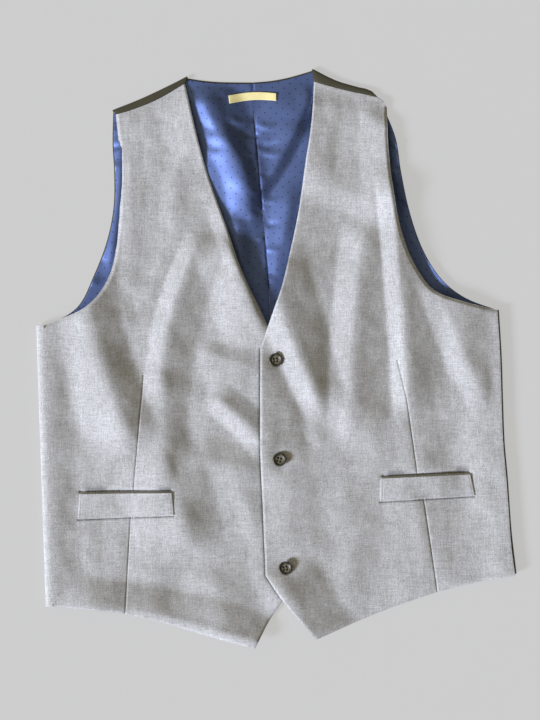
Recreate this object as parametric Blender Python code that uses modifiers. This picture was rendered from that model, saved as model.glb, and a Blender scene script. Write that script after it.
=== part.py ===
"""A suit waistcoat laid flat on a table, front up and buttoned.

Right and left are the wearer's: the wearer's right lies at -X, the neck points to +Y and the
back rests on Z = 0.  Every table below is in millimetres; MM turns its numbers into metres.
"""

import math
from collections import namedtuple

import bmesh
import bpy
import numpy as np
from mathutils import Matrix, Vector
from mathutils.bvhtree import BVHTree

MM = 0.001
# Points nearer than this become one.
MERGE = 0.01 * MM

# Thicknesses of the cloth and the clearance between neighbouring pieces.
WORSTED = 2.2
SATIN = 1.0
WELT_CLOTH = 1.6
TAPE = 1.0
GAP = 0.3

# Length of the mesh cells down each kind of panel, and the number of columns across a front.
FRONT_CELL = 13.0
FRONT_COLUMNS = 22
BACK_CELL = 24.0
LINING_CELL = 17.0
# Steps between two places of an edge, and along a fold.
EDGE_STEPS = 8
FOLD_STEPS = 24

# Radius, at the middle of the satin, of the turn where the back wraps forward.
TURN_RADIUS = 1.9
TURN_STEPS = 6
# Width and half height, at the middle of the worsted, of the roll along the right side.
ROLL_OUT = 8.1
ROLL_RISE = 4.2
ROLL_STEPS = 8
ROLL_TOP = WORSTED / 2 + 2 * ROLL_RISE

# A section runs across a panel from its outer edge (armhole and side) to its inner edge
# (neckline and front edge, or the seam at the centre of the back).  "corner" says which edge
# has a corner there; elsewhere the edges run smoothly through the sections.
Section = namedtuple("Section", "name outer_x outer_y inner_x inner_y corner")
Place = namedtuple("Place", "x y corner")

FRONT_RIGHT = (
    Section("shoulder", -176.6, 267.3, -100.7, 301.4, "both"),
    Section("collarbone", -171.4, 215.6, -88.8, 249.7, ""),
    Section("upper_chest", -171.4, 181.5, -80.0, 215.9, ""),
    Section("chest", -173.5, 147.4, -69.3, 182.6, ""),
    Section("lower_chest", -179.6, 102.3, -53.4, 138.3, ""),
    Section("armhole_curve", -191.0, 75.9, -44.3, 110.3, ""),
    Section("armhole_foot", -209.6, 55.6, -33.6, 83.9, ""),
    Section("under_arm", -233.0, 44.2, -20.5, 57.1, ""),
    Section("side_top", -254.7, 35.5, -7.6, 31.4, "outer"),
    Section("neckline_foot", -253.8, 8.8, 11.6, 2.2, "inner"),
    Section("first_button", -252.1, -40.7, 13.8, -46.2, ""),
    Section("waist", -250.4, -90.2, 16.3, -101.2, ""),
    Section("second_button", -248.8, -137.5, 18.9, -156.2, ""),
    Section("pocket", -247.2, -183.7, 21.5, -211.2, ""),
    Section("front_corner", -246.4, -209.0, 23.7, -240.9, "inner"),
    Section("cutaway", -245.7, -229.9, 8.0, -264.6, ""),
    Section("cutaway_foot", -245.0, -250.8, -8.6, -289.2, ""),
    Section("hem", -244.2, -272.3, -23.7, -317.9, "both"),
)
HEM_RIGHT = (
    Place(-244.2, -272.3, True),
    Place(-205.0, -275.6, False),
    Place(-165.9, -280.2, False),
    Place(-115.0, -291.9, False),
    Place(-69.3, -306.0, False),
    Place(-23.7, -317.9, True),
)
SHOULDER_RIGHT = (
    Place(-176.6, 267.3, True),
    Place(-160.0, 272.0, False),
    Place(-130.0, 284.2, False),
    Place(-100.7, 301.4, True),
)

FRONT_LEFT = (
    Section("shoulder", 121.4, 275.6, 41.3, 303.6, "both"),
    Section("collarbone", 122.4, 234.3, 38.5, 260.2, ""),
    Section("upper_chest", 126.5, 193.1, 32.7, 217.6, ""),
    Section("chest", 133.3, 151.8, 26.5, 174.2, ""),
    Section("lower_chest", 142.5, 121.0, 20.5, 141.8, ""),
    Section("armhole_curve", 155.7, 94.6, 13.9, 111.9, ""),
    Section("armhole_foot", 173.3, 73.7, 7.4, 84.2, ""),
    Section("under_arm", 205.0, 62.0, -3.6, 49.8, ""),
    Section("side_top", 242.3, 52.8, -17.4, 11.0, "both"),
    Section("first_button", 245.5, 0.0, -17.5, -46.2, ""),
    Section("waist", 246.9, -47.0, -17.4, -101.2, ""),
    Section("second_button", 248.6, -92.0, -15.0, -156.2, ""),
    Section("pocket", 252.2, -133.1, -12.9, -205.7, ""),
    Section("front_corner", 254.3, -161.7, -11.6, -238.7, "inner"),
    Section("cutaway", 256.2, -189.2, 7.2, -265.1, ""),
    Section("cutaway_foot", 258.4, -214.0, 25.0, -287.0, ""),
    Section("hem", 261.9, -238.5, 43.5, -308.0, "both"),
)
HEM_LEFT = (
    Place(261.9, -238.5, True),
    Place(218.4, -246.4, False),
    Place(176.6, -256.7, False),
    Place(131.5, -271.7, False),
    Place(86.0, -290.0, False),
    Place(43.5, -308.0, True),
)
SHOULDER_LEFT = (
    Place(121.4, 275.6, True),
    Place(116.0, 283.6, False),
    Place(104.0, 287.8, False),
    Place(79.8, 293.1, False),
    Place(58.0, 298.6, False),
    Place(41.3, 303.6, True),
)

BACK_RIGHT = (
    Section("shoulder", -179.6, 270.2, -26.2, 302.9, "both"),
    Section("shoulder_blade", -180.3, 235.0, -24.6, 268.0, ""),
    Section("chest", -178.6, 204.6, -22.1, 238.0, ""),
    Section("lower_chest", -179.2, 166.1, -18.5, 198.0, ""),
    Section("armhole_curve", -186.5, 128.7, -14.8, 157.0, ""),
    Section("armhole_foot", -200.9, 90.8, -11.5, 118.0, ""),
    Section("under_arm", -219.0, 56.0, -8.5, 78.0, ""),
    Section("side_top", -254.4, 33.5, -6.5, 38.0, "outer"),
    Section("waist", -252.0, -40.7, -5.0, -40.0, ""),
    Section("hip", -248.5, -137.5, -4.0, -137.0, ""),
    Section("hem", -243.9, -270.6, -3.0, -257.4, "both"),
)
BACK_LEFT = (
    Section("shoulder", 117.5, 276.0, -26.2, 302.9, "both"),
    Section("shoulder_blade", 131.0, 242.0, -24.6, 268.0, ""),
    Section("chest", 137.0, 204.6, -22.1, 238.0, ""),
    Section("lower_chest", 146.9, 159.0, -18.5, 198.0, ""),
    Section("armhole_curve", 161.7, 117.7, -14.8, 157.0, ""),
    Section("armhole_foot", 182.5, 85.6, -11.5, 118.0, ""),
    Section("under_arm", 208.0, 66.0, -8.5, 78.0, ""),
    Section("side_top", 242.4, 52.8, -6.5, 38.0, "outer"),
    Section("waist", 246.9, -47.0, -5.0, -40.0, ""),
    Section("hip", 252.3, -134.0, -4.0, -137.0, ""),
    Section("hem", 261.0, -236.8, -3.0, -257.4, "both"),
)
# Top edge of each back from the shoulder point to the centre; its corner is the neck point.
TOP_RIGHT = (
    Place(-179.6, 270.2, True),
    Place(-149.0, 282.4, False),
    Place(-115.4, 298.2, False),
    Place(-97.4, 307.5, True),
    Place(-79.8, 304.8, False),
    Place(-61.5, 303.4, False),
    Place(-26.2, 302.9, True),
)
TOP_LEFT = (
    Place(117.5, 276.0, True),
    Place(104.6, 291.0, False),
    Place(86.7, 296.1, False),
    Place(64.4, 302.9, False),
    Place(38.6, 315.7, True),
    Place(28.1, 312.4, False),
    Place(10.5, 307.6, False),
    Place(-7.6, 304.4, False),
    Place(-26.2, 302.9, True),
)

# Folds: a ridge, or a trough where the height is negative, along a curve from "start" through
# "middle" to "end".  Across it the height falls to a third at the width, given at both ends.
Fold = namedtuple("Fold", "start middle end width_start width_end height")
FOLDS = {}
FOLDS["right"] = (
    Fold((-226, 82), (-180, -8), (-149, -122), 30, 10, 9.0),
    Fold((-72, 136), (-114, 36), (-134, -116), 13, 17, 6.5),
    Fold((-56, 134), (-26, 60), (2, 2), 22, 22, 6.0),
    Fold((-90, 20), (-55, 16), (-10, 2), 13, 12, 3.2),
    Fold((-84, -20), (-50, -28), (-8, -40), 10, 10, 2.6),
    Fold((-84, -40), (-38, -74), (0, -118), 13, 10, 5.0),
    Fold((-240, 22), (-236, -26), (-236, -90), 14, 14, -3.5),
    Fold((-176, -100), (-140, -118), (-80, -116), 20, 18, 3.5),
    Fold((-118, -110), (-84, -150), (-58, -214), 15, 22, -3.5),
    Fold((-60, -136), (-36, -168), (0, -200), 18, 20, 4.0),
    Fold((-128, -216), (-80, -238), (-20, -222), 20, 18, 3.6),
    Fold((-144, 262), (-146, 200), (-138, 130), 24, 24, -1.6),
    Fold((24, -262), (-8, -298), (-40, -340), 26, 26, 4.0),
)
FOLDS["left"] = (
    Fold((60, 176), (138, 100), (152, -96), 20, 17, 8.0),
    Fold((104, 150), (86, 40), (80, -92), 15, 18, 6.0),
    Fold((-20, 86), (16, 14), (54, -50), 22, 9, 8.0),
    Fold((190, 76), (216, 6), (244, -66), 19, 14, 5.5),
    Fold((118, 272), (124, 224), (134, 168), 30, 26, 4.0),
    Fold((0, -116), (6, -170), (2, -232), 16, 16, 2.6),
    Fold((136, -140), (138, -200), (144, -256), 20, 20, 3.0),
    Fold((176, 10), (182, -74), (198, -160), 18, 22, -2.0),
    Fold((-4, -238), (12, -276), (40, -316), 16, 18, 3.4),
)
# Folds of the lining, seen in the neck.
FOLDS["lining"] = (
    Fold((-90, 286), (-66, 250), (-66, 205), 9, 9, 2.6),
    Fold((-62, 232), (-38, 200), (-34, 160), 9, 9, 2.8),
    Fold((-50, 150), (-41, 122), (-34, 96), 8, 8, 1.8),
    Fold((12, 262), (6, 206), (0, 150), 12, 10, 2.2),
    Fold((30, 280), (12, 244), (-6, 200), 9, 9, 1.4),
)
# Each fold rises and dies out over this share of its length.
FOLD_FADE = 0.3

# How far the fronts stand off the back between the folds and at the left side's seam.
FRONT_LIFT = 1.8
SIDE_LIFT = 4.4
LIFT_SOFTNESS = 2.0
# The fronts come down to the shoulder seams, rise to the left side and lose their folds at its
# seam within these distances.
SEAM_REACH = 24.0
SIDE_REACH = 70.0
SIDE_FADE = 24.0
# Near the hem the fronts keep only part of that lift, and none where they lie on the table.
HEM_REACH = 40.0
HEM_HOLD = 0.55
# Beyond the hem of the back the fronts come down to the table within this distance.
DROP_START = 3.0
DROP_REACH = 34.0
# The right front falls from the top of its roll to the chest within this distance.
ROLL_REACH = 42.0
# The left front lies on the right one, clear of its folds, and drops to the back past its edge
# within this distance.
OVERLAP_START = 4.0
OVERLAP_REACH = 48.0
OVERLAP_CLEARANCE = 0.95
OVERLAP_SOFTNESS = 1.5
# The folds of the right front die out under the left one within this distance of its edge.
COVER_START = 4.0
COVER_REACH = 14.0

# The left back turns forward over the side by this angle, its turn this far inside the front,
# so high that it meets the face of the front.
SIDE_TURN = math.radians(150.0)
SIDE_TUCK = 0.4
SIDE_RISE = (SATIN + 2 * GAP + SIDE_LIFT + WORSTED) / 2
# The linings end this far inside the backs: along the edges, and in the shoulder's fold.
LINING_INSET = 1.2
LINING_TUCK = 0.6

# Corners of the pocket welts: top outer, top inner, bottom inner, bottom outer.
WELT_RIGHT = ((-216.2, -149.2), (-114.4, -147.4), (-112.1, -171.9), (-217.8, -176.4))
WELT_LEFT = ((212.9, -127.6), (114.4, -131.8), (113.6, -156.8), (217.8, -150.7))
WELT_CELLS = (14, 3)
# A strip that lies on a panel clears the highest place within this distance of each point.
LAY_REACH = 4.0

# Buttons: diameter, profile from the middle of the face round the rim to the middle of the back
# as (share of the radius, height), and the four thread holes.
BUTTON_DIAMETER = 15.0
BUTTON_PROFILE = (
    (0.0, 1.9),
    (0.58, 1.9),
    (0.70, 2.5),
    (0.82, 2.9),
    (0.93, 2.6),
    (1.0, 1.8),
    (0.96, 0.9),
    (0.70, 0.0),
    (0.0, 0.0),
)
BUTTON_SIDES = 24
THREAD_HOLE_DIAMETER = 1.7
THREAD_HOLE_SPACING = 3.5
THREAD_HOLE_SIDES = 8
BUTTONS = (
    ("button_top", -1.0, -2.2),
    ("button_middle", 3.0, -111.1),
    ("button_bottom", 9.6, -229.9),
)

# Places round a button, and the reach round each, that its bed on the cloth clears.
BED_PLACES = 12
BED_REACH = 0.5
# Rays that look for a surface start here.
ABOVE_ALL = 100.0

# Neck label: its corners, top left, top right, bottom right, bottom left.
LABEL = ((-52.4, 289.4), (-0.6, 290.6), (-0.4, 281.4), (-52.6, 279.6))
LABEL_CELLS = (8, 1)


def smooth(values):
    """Ease from 0 to 1 as the values go from 0 to 1."""
    t = np.clip(values, 0.0, 1.0)
    return t * t * (3.0 - 2.0 * t)


def spline(points, corners, steps):
    """Points along a smooth line through the given ones, with the given steps between each two."""
    line = []
    last = len(points) - 1
    for i in range(last):
        a = points[i]
        b = points[i + 1]
        before = points[i - 1] if i > 0 and not corners[i] else 2 * a - b
        after = points[i + 2] if i + 2 <= last and not corners[i + 1] else 2 * b - a
        chord = np.linalg.norm(b - a)
        leave = (b - before) * chord / (chord + np.linalg.norm(a - before))
        arrive = (after - a) * chord / (chord + np.linalg.norm(after - b))
        for t in np.arange(steps[i]) / steps[i]:
            line.append(
                (2 * t**3 - 3 * t**2 + 1) * a
                + (t**3 - 2 * t**2 + t) * leave
                + (3 * t**2 - 2 * t**3) * b
                + (t**3 - t**2) * arrive
            )
    line.append(points[last])
    return np.array(line)


def distances(line):
    """Share of a line's length at each of its points."""
    lengths = np.concatenate([[0.0], np.cumsum(np.linalg.norm(np.diff(line, axis=0), axis=1))])
    return lengths / lengths[-1]


def even(line, places):
    """The points of a line at the given shares of its length."""
    return np.stack([np.interp(places, distances(line), line[:, k]) for k in range(2)], axis=1)


def edge_line(places):
    """A fine line through an edge's places."""
    points = np.array([(p.x, p.y) for p in places])
    corners = [p.corner for p in places]
    return spline(points, corners, [EDGE_STEPS] * (len(places) - 1))


def section_line(sections, edge, steps):
    """A line through the outer or the inner ends of sections."""
    points = np.array([(getattr(s, edge + "_x"), getattr(s, edge + "_y")) for s in sections])
    corners = [s.corner in (edge, "both") for s in sections]
    return spline(points, corners, steps)


def row_named(sections, name):
    """Index of the section of that name."""
    return [s.name for s in sections].index(name)


def blend(share, first, second):
    """Mix of two rows or columns of points."""
    return (1 - share) * first + share * second


def panel_grid(sections, top, hem, cell, shares):
    """Rows of points that fill a panel between its four edges, top row first.

    The columns lie at the given shares of the way from the outer to the inner edge.  Also
    returned is the row at which the side begins.
    """
    one_step = [1] * (len(sections) - 1)
    middles = blend(0.5, section_line(sections, "outer", one_step), section_line(sections, "inner", one_step))
    steps = [max(1, round(span / cell)) for span in np.linalg.norm(np.diff(middles, axis=0), axis=1)]
    outer = section_line(sections, "outer", steps)
    inner = section_line(sections, "inner", steps)
    top = even(top, shares)
    hem = even(hem, shares)
    down = distances(blend(0.5, outer, inner))[:, None, None]
    across = np.asarray(shares)[None, :, None]
    ruled = blend(down, top[None], hem[None]) + blend(across, outer[:, None], inner[:, None])
    corners = blend(down, blend(across, top[0], top[-1]), blend(across, hem[0], hem[-1]))
    return ruled - corners, sum(steps[: row_named(sections, "side_top")])


def inset(grid, top=0.0, hem=0.0, outer=0.0, inner=0.0):
    """Move the edges of a grid of points inwards."""
    moved = grid.copy()
    for edge, neighbour, distance in (
        (np.s_[0], np.s_[1], top),
        (np.s_[-1], np.s_[-2], hem),
        (np.s_[:, 0], np.s_[:, 1], outer),
        (np.s_[:, -1], np.s_[:, -2], inner),
    ):
        inward = grid[neighbour] - grid[edge]
        inward = inward / np.linalg.norm(inward, axis=-1, keepdims=True)
        moved[edge] = moved[edge] + inward * np.asarray(distance)[..., None]
    return moved


def nearest_on(line, x, y):
    """Distance from each place to a line of points, and how far along the line that is."""
    place = np.stack([x, y], axis=-1)
    nearest = np.full(x.shape, np.inf)
    along = np.zeros(x.shape)
    for i in range(len(line) - 1):
        run = line[i + 1] - line[i]
        share = np.clip(((place - line[i]) @ run) / (run @ run), 0.0, 1.0)
        distance = np.linalg.norm(place - line[i] - share[..., None] * run, axis=-1)
        closer = distance < nearest
        nearest = np.where(closer, distance, nearest)
        along = np.where(closer, (i + share) / (len(line) - 1), along)
    return nearest, along


def distance_to(line, x, y):
    """Distance from each place to a line of points."""
    return nearest_on(line, x, y)[0]


def fold_height(fold, x, y):
    """Height of one fold at each place."""
    start, middle, end = (np.array(p, dtype=float) for p in (fold.start, fold.middle, fold.end))
    pull = 2 * middle - (start + end) / 2
    t = np.linspace(0.0, 1.0, FOLD_STEPS + 1)[:, None]
    path = (1 - t) ** 2 * start + 2 * t * (1 - t) * pull + t**2 * end
    distance, along = nearest_on(path, x, y)
    width = fold.width_start + (fold.width_end - fold.width_start) * along
    fade = smooth(np.minimum(along, 1 - along) / FOLD_FADE)
    return fold.height * fade * np.exp(-((distance / width) ** 2))


def positive(values, softness):
    """The values where they are above zero, easing to zero below."""
    return 0.5 * (values + np.sqrt(values**2 + softness**2))


def front_edges():
    """The edges of both fronts that the heights depend on, as fine lines."""
    lines = {
        "shoulder_right": edge_line(SHOULDER_RIGHT),
        "shoulder_left": edge_line(SHOULDER_LEFT),
        "hem_right": edge_line(HEM_RIGHT),
        "hem_left": edge_line(HEM_LEFT),
    }
    for name, sections, first, edge in (
        ("side_right", FRONT_RIGHT, "side_top", "outer"),
        ("side_left", FRONT_LEFT, "side_top", "outer"),
        ("under_edge", FRONT_RIGHT, "shoulder", "inner"),
        ("over_edge", FRONT_LEFT, "side_top", "inner"),
    ):
        rows = sections[row_named(sections, first) :]
        lines[name] = section_line(rows, edge, [EDGE_STEPS] * (len(rows) - 1))
    return lines


LINES = front_edges()


def x_on(line, y):
    """Where a line that runs down the garment lies across it, at each height."""
    return np.interp(y, line[::-1, 1], line[::-1, 0])


def back_hem_y(x):
    """Where the hem of the back lies, at a place across it."""
    right, left = BACK_RIGHT[-1], BACK_LEFT[-1]
    return np.interp(
        x,
        [right.outer_x, right.inner_x, left.outer_x],
        [right.outer_y, right.inner_y, left.outer_y],
    )


def underside(side, x, y):
    """Height of the underside of a front above the table, but for its overlap and roll."""
    bed = 2 * (SATIN + GAP)
    beyond = smooth((back_hem_y(x) - y - DROP_START) / DROP_REACH)
    folds = sum(fold_height(fold, x, y) for fold in FOLDS[side])
    at_side = np.zeros(x.shape)
    if side == "left":
        from_side = distance_to(LINES["side_left"], x, y)
        folds = folds * smooth(from_side / SIDE_FADE)
        at_side = 1 - smooth(from_side / SIDE_REACH)
    else:
        past_edge = x - x_on(LINES["over_edge"], y)
        covered = smooth((past_edge - COVER_START) / COVER_REACH)
        folds = folds * np.where(y < LINES["over_edge"][0, 1], 1 - covered, 1.0)
    near_hem = 1 - smooth(distance_to(LINES["hem_" + side], x, y) / HEM_REACH)
    held = near_hem * (HEM_HOLD + (1 - HEM_HOLD) * beyond) * (1 - at_side)
    free = smooth(distance_to(LINES["shoulder_" + side], x, y) / SEAM_REACH) * (1 - held)
    lift = positive(FRONT_LIFT + folds, LIFT_SOFTNESS)
    return bed * (1 - beyond) + blend(at_side, lift, SIDE_LIFT) * free


def front_middle(side, x, y):
    """Height of the middle of a front's wall above the table."""
    below = underside(side, x, y)
    if side == "right":
        roll = np.exp(-((distance_to(LINES["side_right"], x, y) / ROLL_REACH) ** 2))
        return blend(roll, below + WORSTED / 2, ROLL_TOP)
    past_edge = x - x_on(LINES["under_edge"], y)
    over = 1 - smooth((past_edge - OVERLAP_START) / OVERLAP_REACH)
    rest_on = underside("right", x, y) + WORSTED + OVERLAP_CLEARANCE
    return below + over * positive(rest_on - below, OVERLAP_SOFTNESS) + WORSTED / 2


def with_height(grid, height):
    """Add heights to a grid of points."""
    return np.concatenate([grid, height[..., None]], axis=-1)


def turned_edge(start, outward, rise, out, turn, steps):
    """Rows of points that carry an edge round a turn of the given angle."""
    rows = []
    for angle in np.linspace(0.0, turn, steps + 1):
        plan = start[:, :2] + outward * (out * math.sin(angle))
        rows.append(np.column_stack([plan, start[:, 2] + rise * (1 - math.cos(angle))]))
    return np.array(rows)


def normals(line, towards):
    """Unit normals of a line of points, on the side that a direction points to."""
    run = np.gradient(line, axis=0)
    across = np.stack([-run[:, 1], run[:, 0]], axis=1)
    across = across / np.linalg.norm(across, axis=1, keepdims=True)
    return across * np.sign(across @ np.array(towards))[:, None]


def make_material(name, colour, roughness):
    """A plain Principled material without metal."""
    material = bpy.data.materials.new(name)
    material.use_nodes = True
    shader = material.node_tree.nodes["Principled BSDF"]
    shader.inputs["Base Color"].default_value = (*colour, 1.0)
    shader.inputs["Roughness"].default_value = roughness
    shader.inputs["Metallic"].default_value = 0.0
    material.diffuse_color = (*colour, 1.0)
    return material


def add_object(name, mesh, material, collection):
    """Put a mesh into the garment under its name."""
    piece = bpy.data.objects.new(name, mesh)
    mesh.materials.append(material)
    collection.objects.link(piece)
    return piece


def make_wall(name, patches, thickness, material, collection):
    """A wall of even thickness whose middle runs through patches of points joined at their edges."""
    shape = bmesh.new()
    for patch in patches:
        corners = [[shape.verts.new(Vector(point) * MM) for point in row] for row in patch]
        for row, below in zip(corners, corners[1:]):
            for j in range(len(row) - 1):
                shape.faces.new((row[j], below[j], below[j + 1], row[j + 1]))
    bmesh.ops.remove_doubles(shape, verts=shape.verts, dist=MERGE)
    bmesh.ops.recalc_face_normals(shape, faces=shape.faces)
    mesh = bpy.data.meshes.new(name)
    shape.to_mesh(mesh)
    shape.free()
    mesh.shade_smooth()
    piece = add_object(name, mesh, material, collection)
    cloth = piece.modifiers.new("cloth", "SOLIDIFY")
    cloth.thickness = thickness * MM
    cloth.offset = 0.0
    cloth.use_even_offset = True
    return piece


def surface_of(piece):
    """A tree of a piece's finished faces, to rest other pieces on."""
    graph = bpy.context.evaluated_depsgraph_get()
    graph.update()
    return BVHTree.FromObject(piece, graph)


def resting_height(surfaces, x, y, reach):
    """Height of the highest place of some surfaces within reach of a point."""
    highest = 0.0
    for dx, dy in ((0, 0), (reach, 0), (-reach, 0), (0, reach), (0, -reach)):
        above = Vector((x + dx, y + dy, ABOVE_ALL)) * MM
        for surface in surfaces:
            hit = surface.ray_cast(above, Vector((0, 0, -1)))[0]
            if hit is not None:
                highest = max(highest, hit.z / MM)
    return highest


def make_front(side, sections, material, collection):
    """One front, with its turned side edge on the right."""
    shares = np.linspace(0.0, 1.0, FRONT_COLUMNS + 1)
    grid, side_row = panel_grid(
        sections, LINES["shoulder_" + side], LINES["hem_" + side], FRONT_CELL, shares
    )
    body = with_height(grid, front_middle(side, grid[..., 0], grid[..., 1]))
    patches = [body]
    if side == "right":
        body[side_row:, 0, 2] = ROLL_TOP
        crease = body[side_row:, 0]
        outward = normals(crease[:, :2], (-1.0, 0.0))
        patches.append(turned_edge(crease, outward, -ROLL_RISE, ROLL_OUT, math.pi, ROLL_STEPS))
    return make_wall("front_" + side, patches, WORSTED, material, collection)


def back_grid(side, sections, top_places, cell):
    """Points of one back, the column of its neck point and the row where its side begins."""
    top = edge_line(top_places)
    neck_point = EDGE_STEPS * [p.corner for p in top_places].index(True, 1)
    turn = distances(top)[neck_point]
    shoulder_columns = round(abs(top[neck_point, 0] - top[0, 0]) / cell)
    neck_columns = round(abs(top[-1, 0] - top[neck_point, 0]) / cell)
    shares = np.concatenate([
        np.linspace(0.0, turn, shoulder_columns + 1),
        np.linspace(turn, 1.0, neck_columns + 1)[1:],
    ])
    foot = sections[-1]
    hem = np.array([(foot.outer_x, foot.outer_y), (foot.inner_x, foot.inner_y)])
    grid, side_row = panel_grid(sections, top, hem, cell, shares)
    reach = GAP if side == "right" else -SIDE_TUCK
    grid[side_row:, 0, 0] = x_on(LINES["side_" + side], grid[side_row:, 0, 1]) + reach
    return grid, shoulder_columns, side_row


def make_back(side, sections, top_places, material, collection):
    """One back, turned forward over the shoulder and, on the left, over the side."""
    grid, neck_column, side_row = back_grid(side, sections, top_places, BACK_CELL)
    grid = inset(grid, inner=GAP / 2)
    body = with_height(grid, np.full(grid.shape[:2], SATIN / 2))
    patches = [body]
    # The left turn starts one column in, clear of the turn at the shoulder point.
    first = 0 if side == "right" else 1
    fold = body[0, first : neck_column + 1]
    seam = even(LINES["shoulder_" + side], np.linspace(0.0, 1.0, neck_column + 1)[first:])
    seam = seam + normals(seam, (0.0, 1.0)) * GAP
    outward = normals(fold[:, :2], (0.0, 1.0))
    over_shoulder = turned_edge(fold, outward, TURN_RADIUS, TURN_RADIUS, math.pi, TURN_STEPS)
    seam_row = with_height(seam, over_shoulder[-1, :, 2])
    patches.append(np.concatenate([over_shoulder, seam_row[None]]))
    if side == "left":
        edge = body[side_row:, 0]
        outward = normals(edge[:, :2], (1.0, 0.0))
        patches.append(turned_edge(edge, outward, SIDE_RISE, TURN_RADIUS, SIDE_TURN, TURN_STEPS))
    return make_wall("back_" + side, patches, SATIN, material, collection)


def make_lining(side, sections, top_places, material, collection):
    """The lining of one back, set in from its edges."""
    grid, neck_column = back_grid(side, sections, top_places, LINING_CELL)[:2]
    top = np.where(np.arange(grid.shape[1]) < neck_column, LINING_TUCK, LINING_INSET)
    grid = inset(grid, top=top, hem=LINING_INSET, outer=LINING_INSET, inner=GAP / 2)
    x, y = grid[..., 0], grid[..., 1]
    folds = sum(fold_height(fold, x, y) for fold in FOLDS["lining"])
    held = smooth(distance_to(edge_line(top_places), x, y) / SEAM_REACH)
    height = SATIN + GAP + SATIN / 2 + folds * held
    return make_wall("back_lining_" + side, [with_height(grid, height)], SATIN, material, collection)


def laid_strip(name, corners, cells, thickness, surfaces, material, collection):
    """A flat strip between four corners, laid on the surfaces below it."""
    across = np.linspace(0.0, 1.0, cells[0] + 1)[None, :, None]
    down = np.linspace(0.0, 1.0, cells[1] + 1)[:, None, None]
    top_outer, top_inner, bottom_inner, bottom_outer = np.array(corners)
    top = blend(across, top_outer, top_inner)
    bottom = blend(across, bottom_outer, bottom_inner)
    plan = blend(down, top, bottom)
    height = np.array([[resting_height(surfaces, x, y, LAY_REACH) for x, y in row] for row in plan])
    patch = with_height(plan, height + GAP + thickness / 2)
    return make_wall(name, [patch], thickness, material, collection)


def button_bed(x, y, surface):
    """Height on which a button clears the cloth beneath it."""
    radius = BUTTON_DIAMETER / 2
    places = [(x, y)]
    for angle in np.linspace(0.0, 2 * math.pi, BED_PLACES, endpoint=False):
        for share in (0.5, 1.0):
            places.append((x + radius * share * math.cos(angle), y + radius * share * math.sin(angle)))
    return max(resting_height([surface], *place, BED_REACH) for place in places)


def make_drill(name, location, collection):
    """The cutter of a button's four thread holes."""
    holes = bmesh.new()
    for dx in (-0.5, 0.5):
        for dy in (-0.5, 0.5):
            bmesh.ops.create_cone(
                holes,
                cap_ends=True,
                segments=THREAD_HOLE_SIDES,
                radius1=THREAD_HOLE_DIAMETER / 2 * MM,
                radius2=THREAD_HOLE_DIAMETER / 2 * MM,
                depth=BUTTON_DIAMETER * MM,
                matrix=Matrix.Translation(Vector((dx, dy, 0.0)) * THREAD_HOLE_SPACING * MM),
            )
    mesh = bpy.data.meshes.new(name + "_drill")
    holes.to_mesh(mesh)
    holes.free()
    drill = bpy.data.objects.new(name + "_drill", mesh)
    collection.objects.link(drill)
    drill.location = location
    drill.hide_render = True
    drill.display_type = "WIRE"
    return drill


def make_button(name, x, y, surface, material, collection, cutters):
    """A turned button with a rolled rim and four thread holes."""
    shape = bmesh.new()
    radius = BUTTON_DIAMETER / 2 * MM
    ring = [shape.verts.new((share * radius, 0.0, height * MM)) for share, height in BUTTON_PROFILE]
    for a, b in zip(ring, ring[1:]):
        shape.edges.new((a, b))
    mesh = bpy.data.meshes.new(name)
    shape.to_mesh(mesh)
    shape.free()
    button = add_object(name, mesh, material, collection)
    button.location = Vector((x, y, button_bed(x, y, surface) + GAP)) * MM
    turn = button.modifiers.new("turned", "SCREW")
    turn.steps = BUTTON_SIDES
    turn.render_steps = BUTTON_SIDES
    turn.use_merge_vertices = True
    turn.merge_threshold = MERGE
    drilled = button.modifiers.new("thread_holes", "BOOLEAN")
    drilled.operation = "DIFFERENCE"
    drilled.object = make_drill(name, button.location, cutters)
    return button


def build():
    """Make every piece of the waistcoat."""
    for item in list(bpy.data.objects):
        bpy.data.objects.remove(item, do_unlink=True)
    garment = bpy.data.collections.new("suit_waistcoat")
    cutters = bpy.data.collections.new("cutters")
    bpy.context.scene.collection.children.link(garment)
    bpy.context.scene.collection.children.link(cutters)

    worsted = make_material("grey_worsted", colour=(0.47, 0.47, 0.50), roughness=0.85)
    satin = make_material("dark_satin", colour=(0.045, 0.042, 0.032), roughness=0.45)
    dotted = make_material("blue_satin", colour=(0.15, 0.20, 0.44), roughness=0.38)
    horn = make_material("dark_horn", colour=(0.045, 0.038, 0.030), roughness=0.28)
    tape = make_material("cream_tape", colour=(0.86, 0.68, 0.36), roughness=0.7)

    make_back("right", BACK_RIGHT, TOP_RIGHT, satin, garment)
    make_back("left", BACK_LEFT, TOP_LEFT, satin, garment)
    linings = [
        surface_of(make_lining("right", BACK_RIGHT, TOP_RIGHT, dotted, garment)),
        surface_of(make_lining("left", BACK_LEFT, TOP_LEFT, dotted, garment)),
    ]
    laid_strip("neck_label", LABEL, LABEL_CELLS, TAPE, linings, tape, garment)

    front_right = surface_of(make_front("right", FRONT_RIGHT, worsted, garment))
    front_left = surface_of(make_front("left", FRONT_LEFT, worsted, garment))
    laid_strip("welt_right", WELT_RIGHT, WELT_CELLS, WELT_CLOTH, [front_right], worsted, garment)
    laid_strip("welt_left", WELT_LEFT, WELT_CELLS, WELT_CLOTH, [front_left], worsted, garment)
    for name, x, y in BUTTONS:
        make_button(name, x, y, front_left, horn, garment, cutters)


build()
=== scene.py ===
import math

import bmesh
import bpy
import numpy as np
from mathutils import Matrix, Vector, noise


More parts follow.
